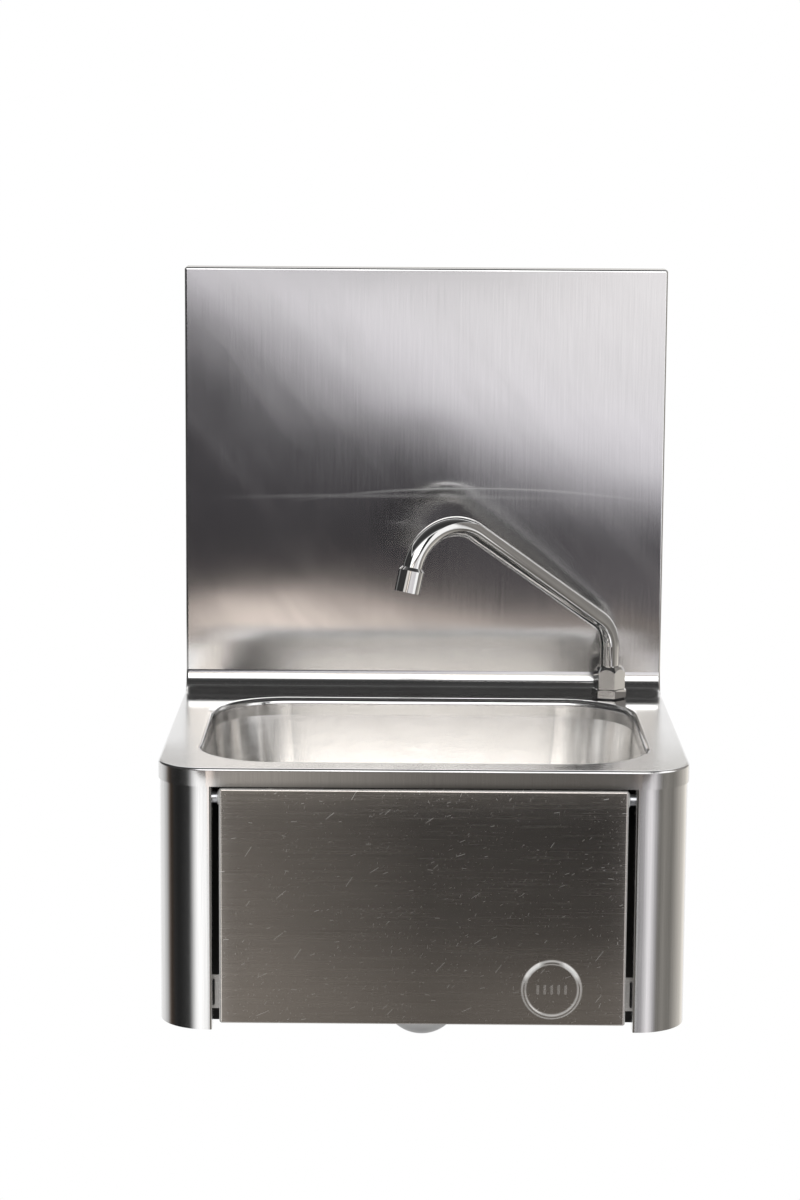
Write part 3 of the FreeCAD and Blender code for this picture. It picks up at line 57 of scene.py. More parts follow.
class Finish:
    """One node material under construction. A method adds nodes and returns their output."""

    def __init__(self, name):
        self.material = bpy.data.materials.new(name)
        self.material.use_nodes = True
        self.tree = self.material.node_tree
        self.tree.nodes.clear()
        self.object_place = self.add("ShaderNodeTexCoord").outputs["Object"]
        self.shader = None

    def add(self, kind, **settings):
        node = self.tree.nodes.new(kind)
        for name, value in settings.items():
            setattr(node, name, value)
        return node

    def feed(self, socket, value):
        """Links an output, or sets a value. A colour of three numbers becomes opaque."""
        if isinstance(value, bpy.types.NodeSocket):
            self.tree.links.new(value, socket)
        elif isinstance(value, tuple) and len(value) == 3 and len(socket.default_value) == 4:
            socket.default_value = (*value, 1.0)
        else:
            socket.default_value = value

    def mapped(self, stretch=(1, 1, 1), turn=(0, 0, 0), shift=(0, 0, 0)):
        """Object coordinates, stretched so that a pattern repeats so many times in a metre."""
        node = self.add("ShaderNodeMapping")
        self.feed(node.inputs["Vector"], self.object_place)
        node.inputs["Scale"].default_value = stretch
        node.inputs["Rotation"].default_value = [math.radians(a) for a in turn]
        node.inputs["Location"].default_value = shift
        return node.outputs["Vector"]

    def streaks(self, stretch, turn):
        """Object coordinates turned first and stretched afterwards, for marks that run aslant."""
        node = self.add("ShaderNodeVectorMath", operation="MULTIPLY")
        self.feed(node.inputs[0], self.mapped(turn=turn))
        node.inputs[1].default_value = stretch
        return node.outputs["Vector"]

    def noise(self, where, detail, rough=0.5, warp=0.0):
        node = self.add("ShaderNodeTexNoise")
        self.feed(node.inputs["Vector"], where)
        node.inputs["Scale"].default_value = 1.0
        node.inputs["Detail"].default_value = detail
        node.inputs["Roughness"].default_value = rough
        node.inputs["Distortion"].default_value = warp
        return node.outputs["Fac"]

    def math(self, operation, a, b=0.0, clamp=False):
        node = self.add("ShaderNodeMath", operation=operation, use_clamp=clamp)
        self.feed(node.inputs[0], a)
        self.feed(node.inputs[1], b)
        return node.outputs[0]

    def span(self, value, low, high, to_low, to_high, smooth=False):
        """Carries the values from low to high over to the other pair, and holds them there."""
        node = self.add("ShaderNodeMapRange", clamp=True)
        node.interpolation_type = "SMOOTHSTEP" if smooth else "LINEAR"
        self.feed(node.inputs["Value"], value)
        for name, number in (("From Min", low), ("From Max", high),
                             ("To Min", to_low), ("To Max", to_high)):
            self.feed(node.inputs[name], number)
        return node.outputs["Result"]

    def ramp(self, value, stops):
        """A colour that changes with a value from 0 to 1."""
        node = self.add("ShaderNodeValToRGB")
        self.feed(node.inputs["Fac"], value)
        band = node.color_ramp
        while len(band.elements) < len(stops):
            band.elements.new(1.0)
        for element, (place, colour) in zip(band.elements, stops):
            element.position = place
            element.color = (*colour, 1.0)
        return node.outputs["Color"]

    def mixed(self, share, a, b, kind="MIX"):
        node = self.add("ShaderNodeMix", data_type="RGBA", blend_type=kind)
        self.feed(node.inputs[MIX_SHARE], share)
        self.feed(node.inputs[MIX_FIRST], a)
        self.feed(node.inputs[MIX_SECOND], b)
        return node.outputs[MIX_RESULT]

    def split(self, vector):
        node = self.add("ShaderNodeSeparateXYZ")
        self.feed(node.inputs[0], vector)
        return node.outputs

    def bump(self, height, depth, strength, over=None):
        """Bends the light as relief would. Depth is in metres."""
        node = self.add("ShaderNodeBump")
        node.inputs["Strength"].default_value = strength
        node.inputs["Distance"].default_value = depth
        self.feed(node.inputs["Height"], height)
        if over is not None:
            self.feed(node.inputs["Normal"], over)
        return node.outputs["Normal"]

    def surface(self, colour, rough, metal, normal=None, spread=None, **uniform):
        """Ends the material. Spread is the direction that an anisotropic finish goes by."""
        self.shader = self.add("ShaderNodeBsdfPrincipled")
        sockets = self.shader.inputs
        self.feed(sockets["Base Color"], colour)
        self.feed(sockets["Roughness"], rough)
        sockets["Metallic"].default_value = metal
        for name, value in uniform.items():
            sockets[name.replace("_", " ")].default_value = value
        if normal is not None:
            self.feed(sockets["Normal"], normal)
        if spread is not None:
            self.feed(sockets["Tangent"], spread)
        end = self.add("ShaderNodeOutputMaterial")
        self.feed(end.inputs["Surface"], self.shader.outputs["BSDF"])
        return self.material

    def dull(self, marks, least):
        """Where the marks are, the metal scatters light like a pale paint. Least is how much
        metal is left under a full mark."""
        self.feed(self.shader.inputs["Metallic"], self.span(marks, 0.0, 1.0, 1.0, least))

    def direction(self, x, y, z):
        node = self.add("ShaderNodeCombineXYZ")
        for socket, value in zip(node.inputs, (x, y, z)):
            socket.default_value = value
        return node.outputs[0]

    def level_direction(self):
        """Round the upright axis: level on every upright face."""
        return self.add("ShaderNodeTangent", direction_type="RADIAL", axis="Z").outputs[0]

    def scratches(self, cell, length, width, seed, main_turn, spread):
        """One short straight mark in each cell of a flat pattern across X and Z. 1 on a mark.
        The cell, the longest half mark and its half width are in metres, the turn in radians."""
        where = self.mapped(stretch=(1 / cell, 0.0, 1 / cell), shift=(seed, 0.37, seed * 1.7))
        cells = self.add("ShaderNodeTexVoronoi", feature="F1")
        self.feed(cells.inputs["Vector"], where)
        cells.inputs["Scale"].default_value = 1.0
        away = self.add("ShaderNodeVectorMath", operation="SUBTRACT")
        self.feed(away.inputs[0], where)
        self.feed(away.inputs[1], cells.outputs["Position"])
        chance = self.split(cells.outputs["Color"])
        angle = self.span(chance[0], 0.0, 1.0, main_turn - spread, main_turn + spread)
        turn = self.add("ShaderNodeVectorRotate", rotation_type="Y_AXIS")
        self.feed(turn.inputs["Vector"], away.outputs[0])
        self.feed(turn.inputs["Angle"], angle)
        along = self.split(turn.outputs["Vector"])
        reach = self.math("MULTIPLY", chance[1], length / cell)
        in_length = self.math("LESS_THAN", self.math("ABSOLUTE", along[0]), reach)
        across = self.math("ABSOLUTE", along[2])
        in_width = self.span(across, 0.0, width / cell, 1.0, 0.0)
        return self.math("MULTIPLY", in_length, in_width)


def paint(names, material):
    """Gives the CAD nodes their finish."""
    for name in names:
        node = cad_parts[name]
        for slot in node.material_slots:
            slot.material = material


# ---------------------------------------------------------------- settings

def colour(name, text, default):
    return FloatVectorProperty(name=name, description=text, default=default, min=0.0, max=1.0,
                               size=3, subtype="COLOR")


def share(name, text, default, top=1.0):
    return FloatProperty(name=name, description=text, default=default, min=0.0, max=top,
                         subtype="FACTOR")


def length(name, text, default):
    return FloatProperty(name=name, description=text, default=default, min=0.0,
                         subtype="DISTANCE", unit="LENGTH", precision=4)


class SheetSettings(bpy.types.PropertyGroup):
    tint: colour("Steel", "Colour of the brushed sheet", (0.75, 0.745, 0.74))
    roughness: share("Roughness", "How far the brushed sheet blurs reflections", 0.125)
    spread: share("Spread", "How much further it blurs them across the grain", 0.92)
    grain: share("Grain", "Strength of the brushing lines", 0.05)
    wave: share("Waviness", "How much the thin sheet bends reflections", 0.16)
    skirt_roughness: share("Skirt roughness", "How far the skirts blur reflections", 0.12)
    skirt_spread: share("Skirt spread", "How much further they blur them across the grain", 0.5)


class BowlSettings(bpy.types.PropertyGroup):
    # The bowl's tint stands far above the sheet's steel: painted light, so that the bowl reads
    # white.
    tint: colour("Bowl steel", "Colour of the satin bowl", (0.97, 0.957, 0.94))
    roughness: share("Roughness", "How far the satin bowl blurs reflections", 0.20)


class PanelSettings(bpy.types.PropertyGroup):
    tint: colour("Panel steel", "Colour of the knee panel", (0.56, 0.525, 0.49))
    roughness: share("Roughness", "How far the panel blurs reflections", 0.25)
    wear: share("Wear", "How strongly the small scratches show", 0.75)


class BarSettings(bpy.types.PropertyGroup):
    count: IntProperty(name="Bars", description="Raised bars inside the ring", default=5, min=1,
                       max=9)
    tall: length("Height", "Height of one bar", 0.0075)
    wide: length("Width", "Width of one bar", 0.0021)
    pitch: length("Pitch", "Distance from bar to bar", 0.0052)
    rise: length("Rise", "How far a bar stands out of the panel", 0.0005)


class FittingSettings(bpy.types.PropertyGroup):
    chrome: colour("Chrome", "Colour of the chromed parts", (0.63, 0.625, 0.62))
    chrome_roughness: share("Chrome roughness", "How far the chrome blurs reflections", 0.035)
    brass: colour("Brass", "Colour of the bare brass parts", (0.69, 0.50, 0.25))
    zinc: colour("Zinc", "Colour of the zinc plated parts", (0.60, 0.61, 0.63))
    rubber: colour("Rubber", "Colour of the rubber parts", (0.018, 0.018, 0.019))
    fibre: colour("Fibre", "Colour of the fibre washer", (0.30, 0.075, 0.05))
    black: colour("Button", "Colour of the valve button", (0.022, 0.022, 0.024))
    white: colour("White plastic", "Colour of the white moulded parts", (0.78, 0.78, 0.76))
    pipe: colour("Waste pipe", "Colour of the waste pipe", (0.74, 0.74, 0.72))


class StageSettings(bpy.types.PropertyGroup):
    floor: colour("Floor", "Colour of the floor", (0.86, 0.86, 0.86))
    overhead: FloatProperty(name="Overhead", description="Power of the overhead softbox",
                            default=16.0, min=0.0, unit="POWER")
    side: FloatProperty(name="Side", description="Power of the left softbox", default=9.0,
                        min=0.0, unit="POWER")
    front: FloatProperty(name="Front", description="Power of the high front softbox",
                         default=16.0, min=0.0, unit="POWER")
    board: share("Boards", "Brightness of the reflection boards", 1.0, 4.0)
    lens: FloatProperty(name="Lens", description="Focal length", default=91.5, min=10.0,
                        subtype="DISTANCE_CAMERA")


class BasinSettings(bpy.types.PropertyGroup):
    sheet: PointerProperty(type=SheetSettings, name="Sheet", description="Brushed sheet steel")
    bowl: PointerProperty(type=BowlSettings, name="Bowl", description="Satin bowl")
    panel: PointerProperty(type=PanelSettings, name="Panel", description="Knee panel")
    bars: PointerProperty(type=BarSettings, name="Bars", description="Raised bars in the ring")
    fittings: PointerProperty(type=FittingSettings, name="Fittings", description="Small parts")
    stage: PointerProperty(type=StageSettings, name="Stage", description="Floor and light")


def settings():
    return bpy.context.scene.wash_basin


# ---------------------------------------------------------------- finishes of the sheet steel

# Two painted highlight arcs: X of the middle, Z of the top, how fast it sags, half its width,
# strength.
HIGHLIGHT_ARCS = ((0.045, 0.2812, 0.49, 0.0017, 0.30),
         (-0.020, 0.2745, 0.10, 0.0025, 0.16))
HIGHLIGHT_ARC_FADE = (0.03, 0.18)              # how far from the middle an arc starts to fade, and ends
SPLASH_FRONT = (-0.0197, -0.0193)     # Y just behind the splashback's front face


def painted_highlight_arcs(steel):
    """Painted highlight: faint bright arcs across the splashback's front. 1 is a full mark."""
    place = steel.split(steel.object_place)
    traces = []
    for middle, top, sag, half_width, strength in HIGHLIGHT_ARCS:
        off = steel.math("SUBTRACT", place[0], middle)
        drop = steel.math("MULTIPLY", steel.math("MULTIPLY", off, off), sag)
        height = steel.math("ADD", steel.math("SUBTRACT", place[2], top), drop)
        line = steel.span(steel.math("ABSOLUTE", height), 0.0, half_width, strength, 0.0)
        fade = steel.span(steel.math("ABSOLUTE", off), *HIGHLIGHT_ARC_FADE, 1.0, 0.0, smooth=True)
        traces.append(steel.math("MULTIPLY", line, fade))
    both = steel.math("MAXIMUM", *traces)
    front = steel.span(place[1], *SPLASH_FRONT, 1.0, 0.0)
    return steel.math("MULTIPLY", both, front)


def brushed_sheet(name, upright_grain, folded=False, skirt=False):
    """Brushed sheet: fine broken lines in colour, gloss and height, a slow wave and old wipes in
    gloss.
    Reflections spread across the grain: along X on a folded sheet, round the body elsewhere."""
    look = settings().sheet
    steel = Finish(name)
    if upright_grain:
        fine_grain, coarse_grain = (2600, 2600, 24), (700, 700, 9)
    else:
        fine_grain, coarse_grain = (24, 2600, 2600), (9, 700, 700)
    fine = steel.noise(steel.mapped(fine_grain), detail=2)
    coarse = steel.noise(steel.mapped(coarse_grain, shift=(3, 1, 2)), detail=3, rough=0.6)
    cloud = steel.noise(steel.mapped((7, 7, 5)), detail=4, rough=0.55, warp=0.4)
    wipes = steel.noise(steel.streaks((30, 30, 5), turn=(0, 38, 0)), detail=4, rough=0.6)
    lines = steel.math("ADD", steel.math("MULTIPLY", fine, 0.6),
                       steel.math("MULTIPLY", coarse, 0.4))
    tone = steel.span(lines, 0.3, 0.7, 0.92, 1.07)
    tone = steel.math("MULTIPLY", tone, steel.span(cloud, 0.3, 0.7, 0.965, 1.03))
    shade = steel.mixed(1.0, tuple(look.tint), tone, "MULTIPLY")
    base = look.skirt_roughness if skirt else look.roughness
    gloss = steel.math("ADD", steel.span(lines, 0.3, 0.7, -0.008, 0.01), base)
    gloss = steel.math("ADD", gloss, steel.span(wipes, 0.45, 0.75, 0.0, 0.03))
    gloss = steel.math("ADD", gloss, steel.span(cloud, 0.3, 0.7, -0.012, 0.015))
    wave = steel.noise(steel.mapped((6.5, 6.5, 6.5), shift=(0.4, 0.0, 0.2)), detail=1.5)
    bend = steel.bump(wave, 0.0035 * look.wave, 1.0)
    cut = steel.bump(lines, 0.00002, look.grain, over=bend)
    across = steel.direction(1, 0, 0) if folded else steel.level_direction()
    spread = look.skirt_spread if skirt else look.spread
    sheet = steel.surface(shade, gloss, 1.0, cut, across, Anisotropic=spread)
    # On the folded sheet, painted highlight: along two arcs on the splashback the metal turns pale
    # like paint.
    if folded:
        steel.dull(painted_highlight_arcs(steel), 0.0)
    return sheet


class BASIN_OT_sheet(bpy.types.Operator):
    """Brush the deck, splashback, apron, skirts and the brackets behind them"""
    bl_idname = "wash_basin.sheet"
    bl_label = "Brushed sheet"

    def execute(self, context):
        paint(["deck_and_splashback"], brushed_sheet("brushed_sheet_steel", True, True))
        paint(["left_skirt", "right_skirt"], brushed_sheet("brushed_skirt_steel", True, skirt=True))
        paint(["valve_rail", "rail_cleats"], brushed_sheet("brushed_bracket_steel", False))
        return {"FINISHED"}


def satin_bowl():
    """Deep-drawn steel polished to a satin: faint rings of polishing marks and water marks."""
    look = settings().bowl
    steel = Finish("satin_bowl_steel")
    fine = steel.noise(steel.mapped((900, 900, 900)), detail=2)
    swirl = steel.noise(steel.mapped((30, 30, 260)), detail=4, rough=0.65, warp=0.6)
    cloud = steel.noise(steel.mapped((16, 16, 16), shift=(2, 2, 1)), detail=4, rough=0.6, warp=0.5)
    marks = steel.math("ADD", steel.math("MULTIPLY", fine, 0.4), steel.math("MULTIPLY", swirl, 0.6))
    tone = steel.math("MULTIPLY", steel.span(marks, 0.3, 0.7, 0.965, 1.03),
                      steel.span(cloud, 0.3, 0.7, 0.97, 1.02))
    # painted light: the near-white tint brightens the bowl beyond its steel
    shade = steel.mixed(1.0, tuple(look.tint), tone, "MULTIPLY")
    gloss = steel.math("ADD", steel.span(marks, 0.3, 0.7, -0.03, 0.03), look.roughness)
    gloss = steel.math("ADD", gloss, steel.span(cloud, 0.35, 0.7, -0.02, 0.03))
    return steel.surface(shade, gloss, 1.0, steel.bump(marks, 0.00003, 0.5))


class BASIN_OT_bowl(bpy.types.Operator):
    """Polish the bowl"""
    bl_idname = "wash_basin.bowl"
    bl_label = "Satin bowl"

    def execute(self, context):
        paint(["bowl"], satin_bowl())
        return {"FINISHED"}


RING_CENTRE = Vector((0.097, 0.0, -0.058))     # middle of the panel's raised ring
RING_RADIUS = 0.0210                           # out to the top of its bead
RING_INSIDE = (0.0186, 0.0194)                 # radii where its inner flank starts and ends
RING_OUTSIDE = (0.0226, 0.0234)                # radii where its outer flank starts and ends
RING_BEAD = 0.00175                            # how far the bead stands out of the panel
BARS_REACH = 0.0180                            # radius round all the bars
BARS_FRONT = (-0.3393, -0.3391)                # Y between the bars' faces and the panel's
SIDE_FOLDS = (0.1508, 0.1518)                  # X of the bends at the panel's sides
TOP_FOLD = (0.0930, 0.0940)                    # Z of the bend at its top
SCRATCHED = (0.95, 0.93, 0.90)                 # colour of the steel in a scratch
PALE_WEAR_AND_HIGHLIGHT = (0.93, 0.92, 0.90)                    # and where it is worn pale, and where highlight is painted


def slanting_scratches(steel, wear):
    """Many short marks in crowds and a few long ones. 1 is a full mark."""
    crowd = steel.noise(steel.mapped((26, 26, 26), shift=(5, 0, 1)), detail=5, rough=0.7)
    crowd = steel.span(crowd, 0.44, 0.66, 0.0, 1.0)
    slant = math.radians(46)
    small = steel.scratches(0.0064, 0.0008, 0.00014, 3.1, slant, 1.3)
    other = steel.scratches(0.0130, 0.0016, 0.00017, 7.7, slant, 0.7)
    long = steel.scratches(0.038, 0.0050, 0.00017, 12.3, slant - 0.1, 0.4)
    level = steel.scratches(0.027, 0.0022, 0.00016, 17.9, 0.1, 0.3)
    short = steel.math("MULTIPLY", steel.math("MAXIMUM", small, other), crowd)
    lengthy = steel.math("MULTIPLY", steel.math("MAXIMUM", long, level), 0.8)
    return steel.math("MULTIPLY", steel.math("MAXIMUM", short, lengthy), wear, clamp=True)


def painted_edge_highlights(steel):
    """Painted highlights on the ring and on the panel's bends, and paler bars. 1 is palest."""
    place = steel.split(steel.object_place)
    aside = steel.math("SUBTRACT", place[0], RING_CENTRE.x)
    above = steel.math("SUBTRACT", place[2], RING_CENTRE.z)
    off_centre = steel.math("ABSOLUTE", aside)
    away = steel.math("SQRT", steel.math("ADD", steel.math("MULTIPLY", aside, aside),
                                         steel.math("MULTIPLY", above, above)))
    bead = steel.math("MULTIPLY", steel.span(away, *RING_INSIDE, 0.0, 1.0),
                      steel.span(away, *RING_OUTSIDE, 1.0, 0.0))
    # painted highlight on the bead's upper left and upper right, where light from above falls
    arcs = steel.math("MULTIPLY", steel.span(off_centre, 0.003, 0.010, 0.0, 1.0),
                      steel.span(above, 0.002, 0.011, 0.0, 1.0))
    from_top = steel.math("ABSOLUTE", steel.math("SUBTRACT", away, RING_RADIUS))
    # painted highlight on the bead's flanks, less on its top
    flanks = steel.span(from_top, 0.0004, 0.0009, 0.12, 0.62)
    ring = steel.math("MULTIPLY", bead, steel.math("MAXIMUM", arcs, flanks))
    bars = steel.math("MULTIPLY", steel.span(place[1], *BARS_FRONT, 0.25, 0.0),
                      steel.math("LESS_THAN", away, BARS_REACH))
    # painted highlights along the bends at the panel's sides and top
    sides = steel.span(steel.math("ABSOLUTE", place[0]), *SIDE_FOLDS, 0.0, 0.75)
    top = steel.span(place[2], *TOP_FOLD, 0.0, 0.6)
    return steel.math("MAXIMUM", steel.math("MAXIMUM", ring, bars),
                      steel.math("MAXIMUM", sides, top))


def worn_highlighted_panel(name):
    """Level brushing with small slanting scratches worn pale, and painted highlights on what stands
    out.
    """
    look = settings().panel
    steel = Finish(name)
    fine = steel.noise(steel.mapped((20, 20, 3000)), detail=2)
    coarse = steel.noise(steel.mapped((8, 8, 900), shift=(1, 2, 3)), detail=3, rough=0.65)
    cloud = steel.noise(steel.mapped((9, 9, 9)), detail=4, rough=0.55, warp=0.3)
    lines = steel.math("ADD", steel.math("MULTIPLY", fine, 0.55),
                       steel.math("MULTIPLY", coarse, 0.45))
    marks = slanting_scratches(steel, look.wear)
    tone = steel.math("MULTIPLY", steel.span(lines, 0.3, 0.7, 0.92, 1.07),
                      steel.span(cloud, 0.3, 0.7, 0.95, 1.05))
    shade = steel.mixed(1.0, tuple(look.tint), tone, "MULTIPLY")
    shade = steel.mixed(marks, shade, SCRATCHED)
    gloss = steel.math("ADD", steel.span(lines, 0.3, 0.7, -0.04, 0.04), look.roughness)
    gloss = steel.math("ADD", gloss, steel.math("MULTIPLY", marks, 0.42))
    wave = steel.noise(steel.mapped((7, 7, 7), shift=(0.1, 0, 0.5)), detail=1.5)
    bend = steel.bump(wave, 0.0008, 1.0)
    cut = steel.bump(lines, 0.00002, 0.5, over=bend)
    dent = steel.bump(marks, 0.00006, 0.6, over=cut)
    # the pale scratches are wear; the ring, the bars and the bends carry painted highlight
    wear_and_highlight = steel.math("MAXIMUM", painted_edge_highlights(steel), steel.math("MULTIPLY", marks, 0.8))
    shade = steel.mixed(wear_and_highlight, shade, PALE_WEAR_AND_HIGHLIGHT)
    plate = steel.surface(shade, gloss, 1.0, dent, steel.direction(0, 0, 1), Anisotropic=0.6)
    # where the wear and the painted highlights are, the metal turns pale like paint
    steel.dull(wear_and_highlight, 0.1)
    return plate


class BASIN_OT_panel(bpy.types.Operator):
    """Give the knee panel its brushing and its scratches"""
    bl_idname = "wash_basin.panel"
    bl_label = "Knee panel"

    def execute(self, context):
        paint(["knee_panel"], worn_highlighted_panel("worn_highlighted_panel_steel"))
        return {"FINISHED"}


SORTING = Vector((1.0, 3.1, 0.37))     # a slanting direction along which no two parts tie


class BASIN_OT_bars(bpy.types.Operator):
    """Raise a row of short plain bars inside the panel's ring"""
    bl_idname = "wash_basin.bars"
    bl_label = "Ring bars"

    def execute(self, context):
        look = settings().bars
        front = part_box("knee_panel")[0].y + RING_BEAD
        mesh = bmesh.new()
        for step in range(look.count):
            shift = (step - (look.count - 1) / 2) * look.pitch
            place = Matrix.Translation((RING_CENTRE.x + shift, front, RING_CENTRE.z))
            size = Matrix.Diagonal((look.wide, look.rise * 2, look.tall, 1.0))
            made = bmesh.ops.create_cube(mesh, size=1.0, matrix=place @ size)
            corners = [e for e in mesh.edges if e.verts[0] in made["verts"]
                       and abs(e.verts[0].co.y - e.verts[1].co.y) > look.rise]
            bmesh.ops.bevel(mesh, geom=corners, offset=look.wide * 0.45, affect="EDGES",
                            segments=4, profile=0.5, material=-1)
        rims = [e for e in mesh.edges
                if all(v.co.y < front - look.rise * 0.9 for v in e.verts)
                and len({round(f.normal.y) for f in e.link_faces}) > 1]
        bmesh.ops.bevel(mesh, geom=rims, offset=look.rise * 0.7, affect="EDGES", segments=3,
                        profile=0.5, material=-1)
        bmesh.ops.recalc_face_normals(mesh, faces=mesh.faces)
        for face in mesh.faces:
            face.smooth = abs(face.normal.y) < 0.99
        # The bevels leave their parts in no fixed order.
        mesh.verts.sort(key=lambda v: v.co.dot(SORTING))
        mesh.edges.sort(key=lambda e: (e.verts[0].co + e.verts[1].co).dot(SORTING))
        mesh.faces.sort(key=lambda f: f.calc_center_median().dot(SORTING))
        data = bpy.data.meshes.new("ring_bars")
        mesh.to_mesh(data)
        mesh.free()
        piece = bpy.data.objects.new("ring_bars", data)
        context.scene.collection.objects.link(piece)
        data.materials.append(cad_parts["knee_panel"].material_slots[0].material)
        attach(piece, "panel")
        return {"FINISHED"}


# ---------------------------------------------------------------- finishes of the fittings

TARNISH = (0.30, 0.20, 0.10)      # colour of old brass
WIRE = (0.42, 0.42, 0.43)         # colour of the spring
CRYSTALS = 650.0                  # crystals of the zinc along a metre


def bright_chrome():
    look = settings().fittings
    chrome = Finish("bright_chrome")
    smudge = chrome.noise(chrome.mapped((55, 55, 40)), detail=4, rough=0.6, warp=0.8)
    dust = chrome.noise(chrome.mapped((900, 900, 900)), detail=2)
    pull = chrome.noise(chrome.mapped((26, 26, 26), shift=(1, 4, 2)), detail=1)
    gloss = chrome.math("ADD", chrome.span(smudge, 0.42, 0.75, 0.0, 0.05), look.chrome_roughness)
    gloss = chrome.math("ADD", gloss, chrome.span(dust, 0.62, 0.72, 0.0, 0.05))
    tone = chrome.span(smudge, 0.3, 0.75, 1.0, 0.94)
    shade = chrome.mixed(1.0, tuple(look.chrome), tone, "MULTIPLY")
    return chrome.surface(shade, gloss, 1.0, chrome.bump(pull, 0.00018, 1.0))


def bare_brass():
    look = settings().fittings
    brass = Finish("bare_brass")
    turned = brass.noise(brass.mapped((120, 1500, 1500)), detail=2)
    tarnish = brass.noise(brass.mapped((60, 60, 60)), detail=5, rough=0.65, warp=0.7)
    dull = brass.span(tarnish, 0.45, 0.72, 0.0, 1.0)
    shade = brass.mixed(dull, tuple(look.brass), TARNISH)
    gloss = brass.span(dull, 0.0, 1.0, 0.24, 0.46)
    gloss = brass.math("ADD", gloss, brass.span(turned, 0.3, 0.7, -0.04, 0.04))
    return brass.surface(shade, gloss, 1.0, brass.bump(turned, 0.00003, 0.5))


def zinc_plate():
    look = settings().fittings
    zinc = Finish("zinc_plate")
    crystals = zinc.add("ShaderNodeTexVoronoi", feature="F1")
    zinc.feed(crystals.inputs["Vector"], zinc.object_place)
    crystals.inputs["Scale"].default_value = CRYSTALS
    grain = zinc.split(crystals.outputs["Color"])[0]
    cloud = zinc.noise(zinc.mapped((90, 90, 90)), detail=4, rough=0.6)
    tone = zinc.math("MULTIPLY", zinc.span(grain, 0.0, 1.0, 0.9, 1.06),
                     zinc.span(cloud, 0.3, 0.7, 0.92, 1.04))
    shade = zinc.mixed(1.0, tuple(look.zinc), tone, "MULTIPLY")
    gloss = zinc.span(cloud, 0.3, 0.7, 0.26, 0.40)
    return zinc.surface(shade, gloss, 1.0, zinc.bump(grain, 0.00002, 0.4))


def spring_wire():
    wire = Finish("drawn_spring_wire")
    pull = wire.noise(wire.mapped((700, 700, 700)), detail=3)
    tone = wire.span(pull, 0.3, 0.7, 0.85, 1.08)
    shade = wire.mixed(1.0, WIRE, tone, "MULTIPLY")
    return wire.surface(shade, wire.span(pull, 0.3, 0.7, 0.24, 0.36), 1.0)


def moulded(name, tint, rough, speck, shine):
    """Moulded plastic or rubber: fine pores, slow tone change and a dusty bloom."""
    plastic = Finish(name)
    pores = plastic.noise(plastic.mapped((1400, 1400, 1400)), detail=2)
    cloud = plastic.noise(plastic.mapped((70, 70, 70)), detail=4, rough=0.6)
    bloom = plastic.span(cloud, 0.45, 0.75, 0.0, speck)
    shade = plastic.mixed(bloom, tint, tuple(min(1.0, c * 0.8 + 0.12) for c in tint))
    gloss = plastic.math("ADD", plastic.span(cloud, 0.3, 0.7, -0.05, 0.06), rough)
    return plastic.surface(shade, gloss, 0.0, plastic.bump(pores, 0.00005, 0.4),
                           Specular_IOR_Level=shine)


class BASIN_OT_chrome(bpy.types.Operator):
    """Chrome the spout, its pipe and the waste"""
    bl_idname = "wash_basin.chrome"
    bl_label = "Chrome parts"

    def execute(self, context):
        paint(["riser_pipe", "spout_shank", "spout_union_nut", "spout_tube", "aerator_housing",
               "waste_flange", "waste_screw", "waste_body", "trap_inlet_nut", "trap_body",
               "trap_dip_tube", "trap_cup", "trap_outlet_nut", "wall_rosette"], bright_chrome())
        return {"FINISHED"}


class BASIN_OT_valve(bpy.types.Operator):
    """Finish the brass, zinc and spring parts of the valve and its fixings"""
    bl_idname = "wash_basin.valve"
    bl_label = "Valve metals"

    def execute(self, context):
        paint(["valve_body", "valve_lock_nut", "valve_bonnet", "valve_end_cap", "riser_lower_nut",
               "riser_upper_nut", "shank_back_nut", "spout_foot"], bare_brass())
        paint(["pivot_pins", "pivot_spacers", "pivot_nuts", "rail_screws", "rail_nuts",
               "valve_washer", "spindle"], zinc_plate())
        paint(["return_spring"], spring_wire())
        return {"FINISHED"}


class BASIN_OT_mouldings(bpy.types.Operator):
    """Finish the rubber, fibre and plastic parts"""
    bl_idname = "wash_basin.mouldings"
    bl_label = "Mouldings and seals"

    def execute(self, context):
        look = settings().fittings
        paint(["stop_buffers", "spindle_ring", "valve_disc", "deck_gasket", "spout_rings",
               "aerator_washer", "waste_gasket_upper", "waste_gasket_lower", "trap_cup_seal"],
              moulded("black_rubber", tuple(look.rubber), 0.62, 0.25, 0.4))
        paint(["shank_washer"], moulded("red_fibre", tuple(look.fibre), 0.8, 0.4, 0.25))
        paint(["knee_button"], moulded("black_button", tuple(look.black), 0.34, 0.12, 0.5))
        paint(["pivot_bushes", "check_valves", "spout_slip_ring", "aerator_insert"],
              moulded("white_moulding", tuple(look.white), 0.38, 0.10, 0.5))
        paint(["outlet_pipe"], moulded("white_waste_pipe", tuple(look.pipe), 0.32, 0.10, 0.5))
        return {"FINISHED"}


# ---------------------------------------------------------------- the stage

# How a board is turned: across the room, beside the basin or level.
UPRIGHT = (math.radians(90), 0, 0)
SIDEWAYS = (math.radians(90), 0, math.radians(90))
LEVEL = (0, 0, 0)

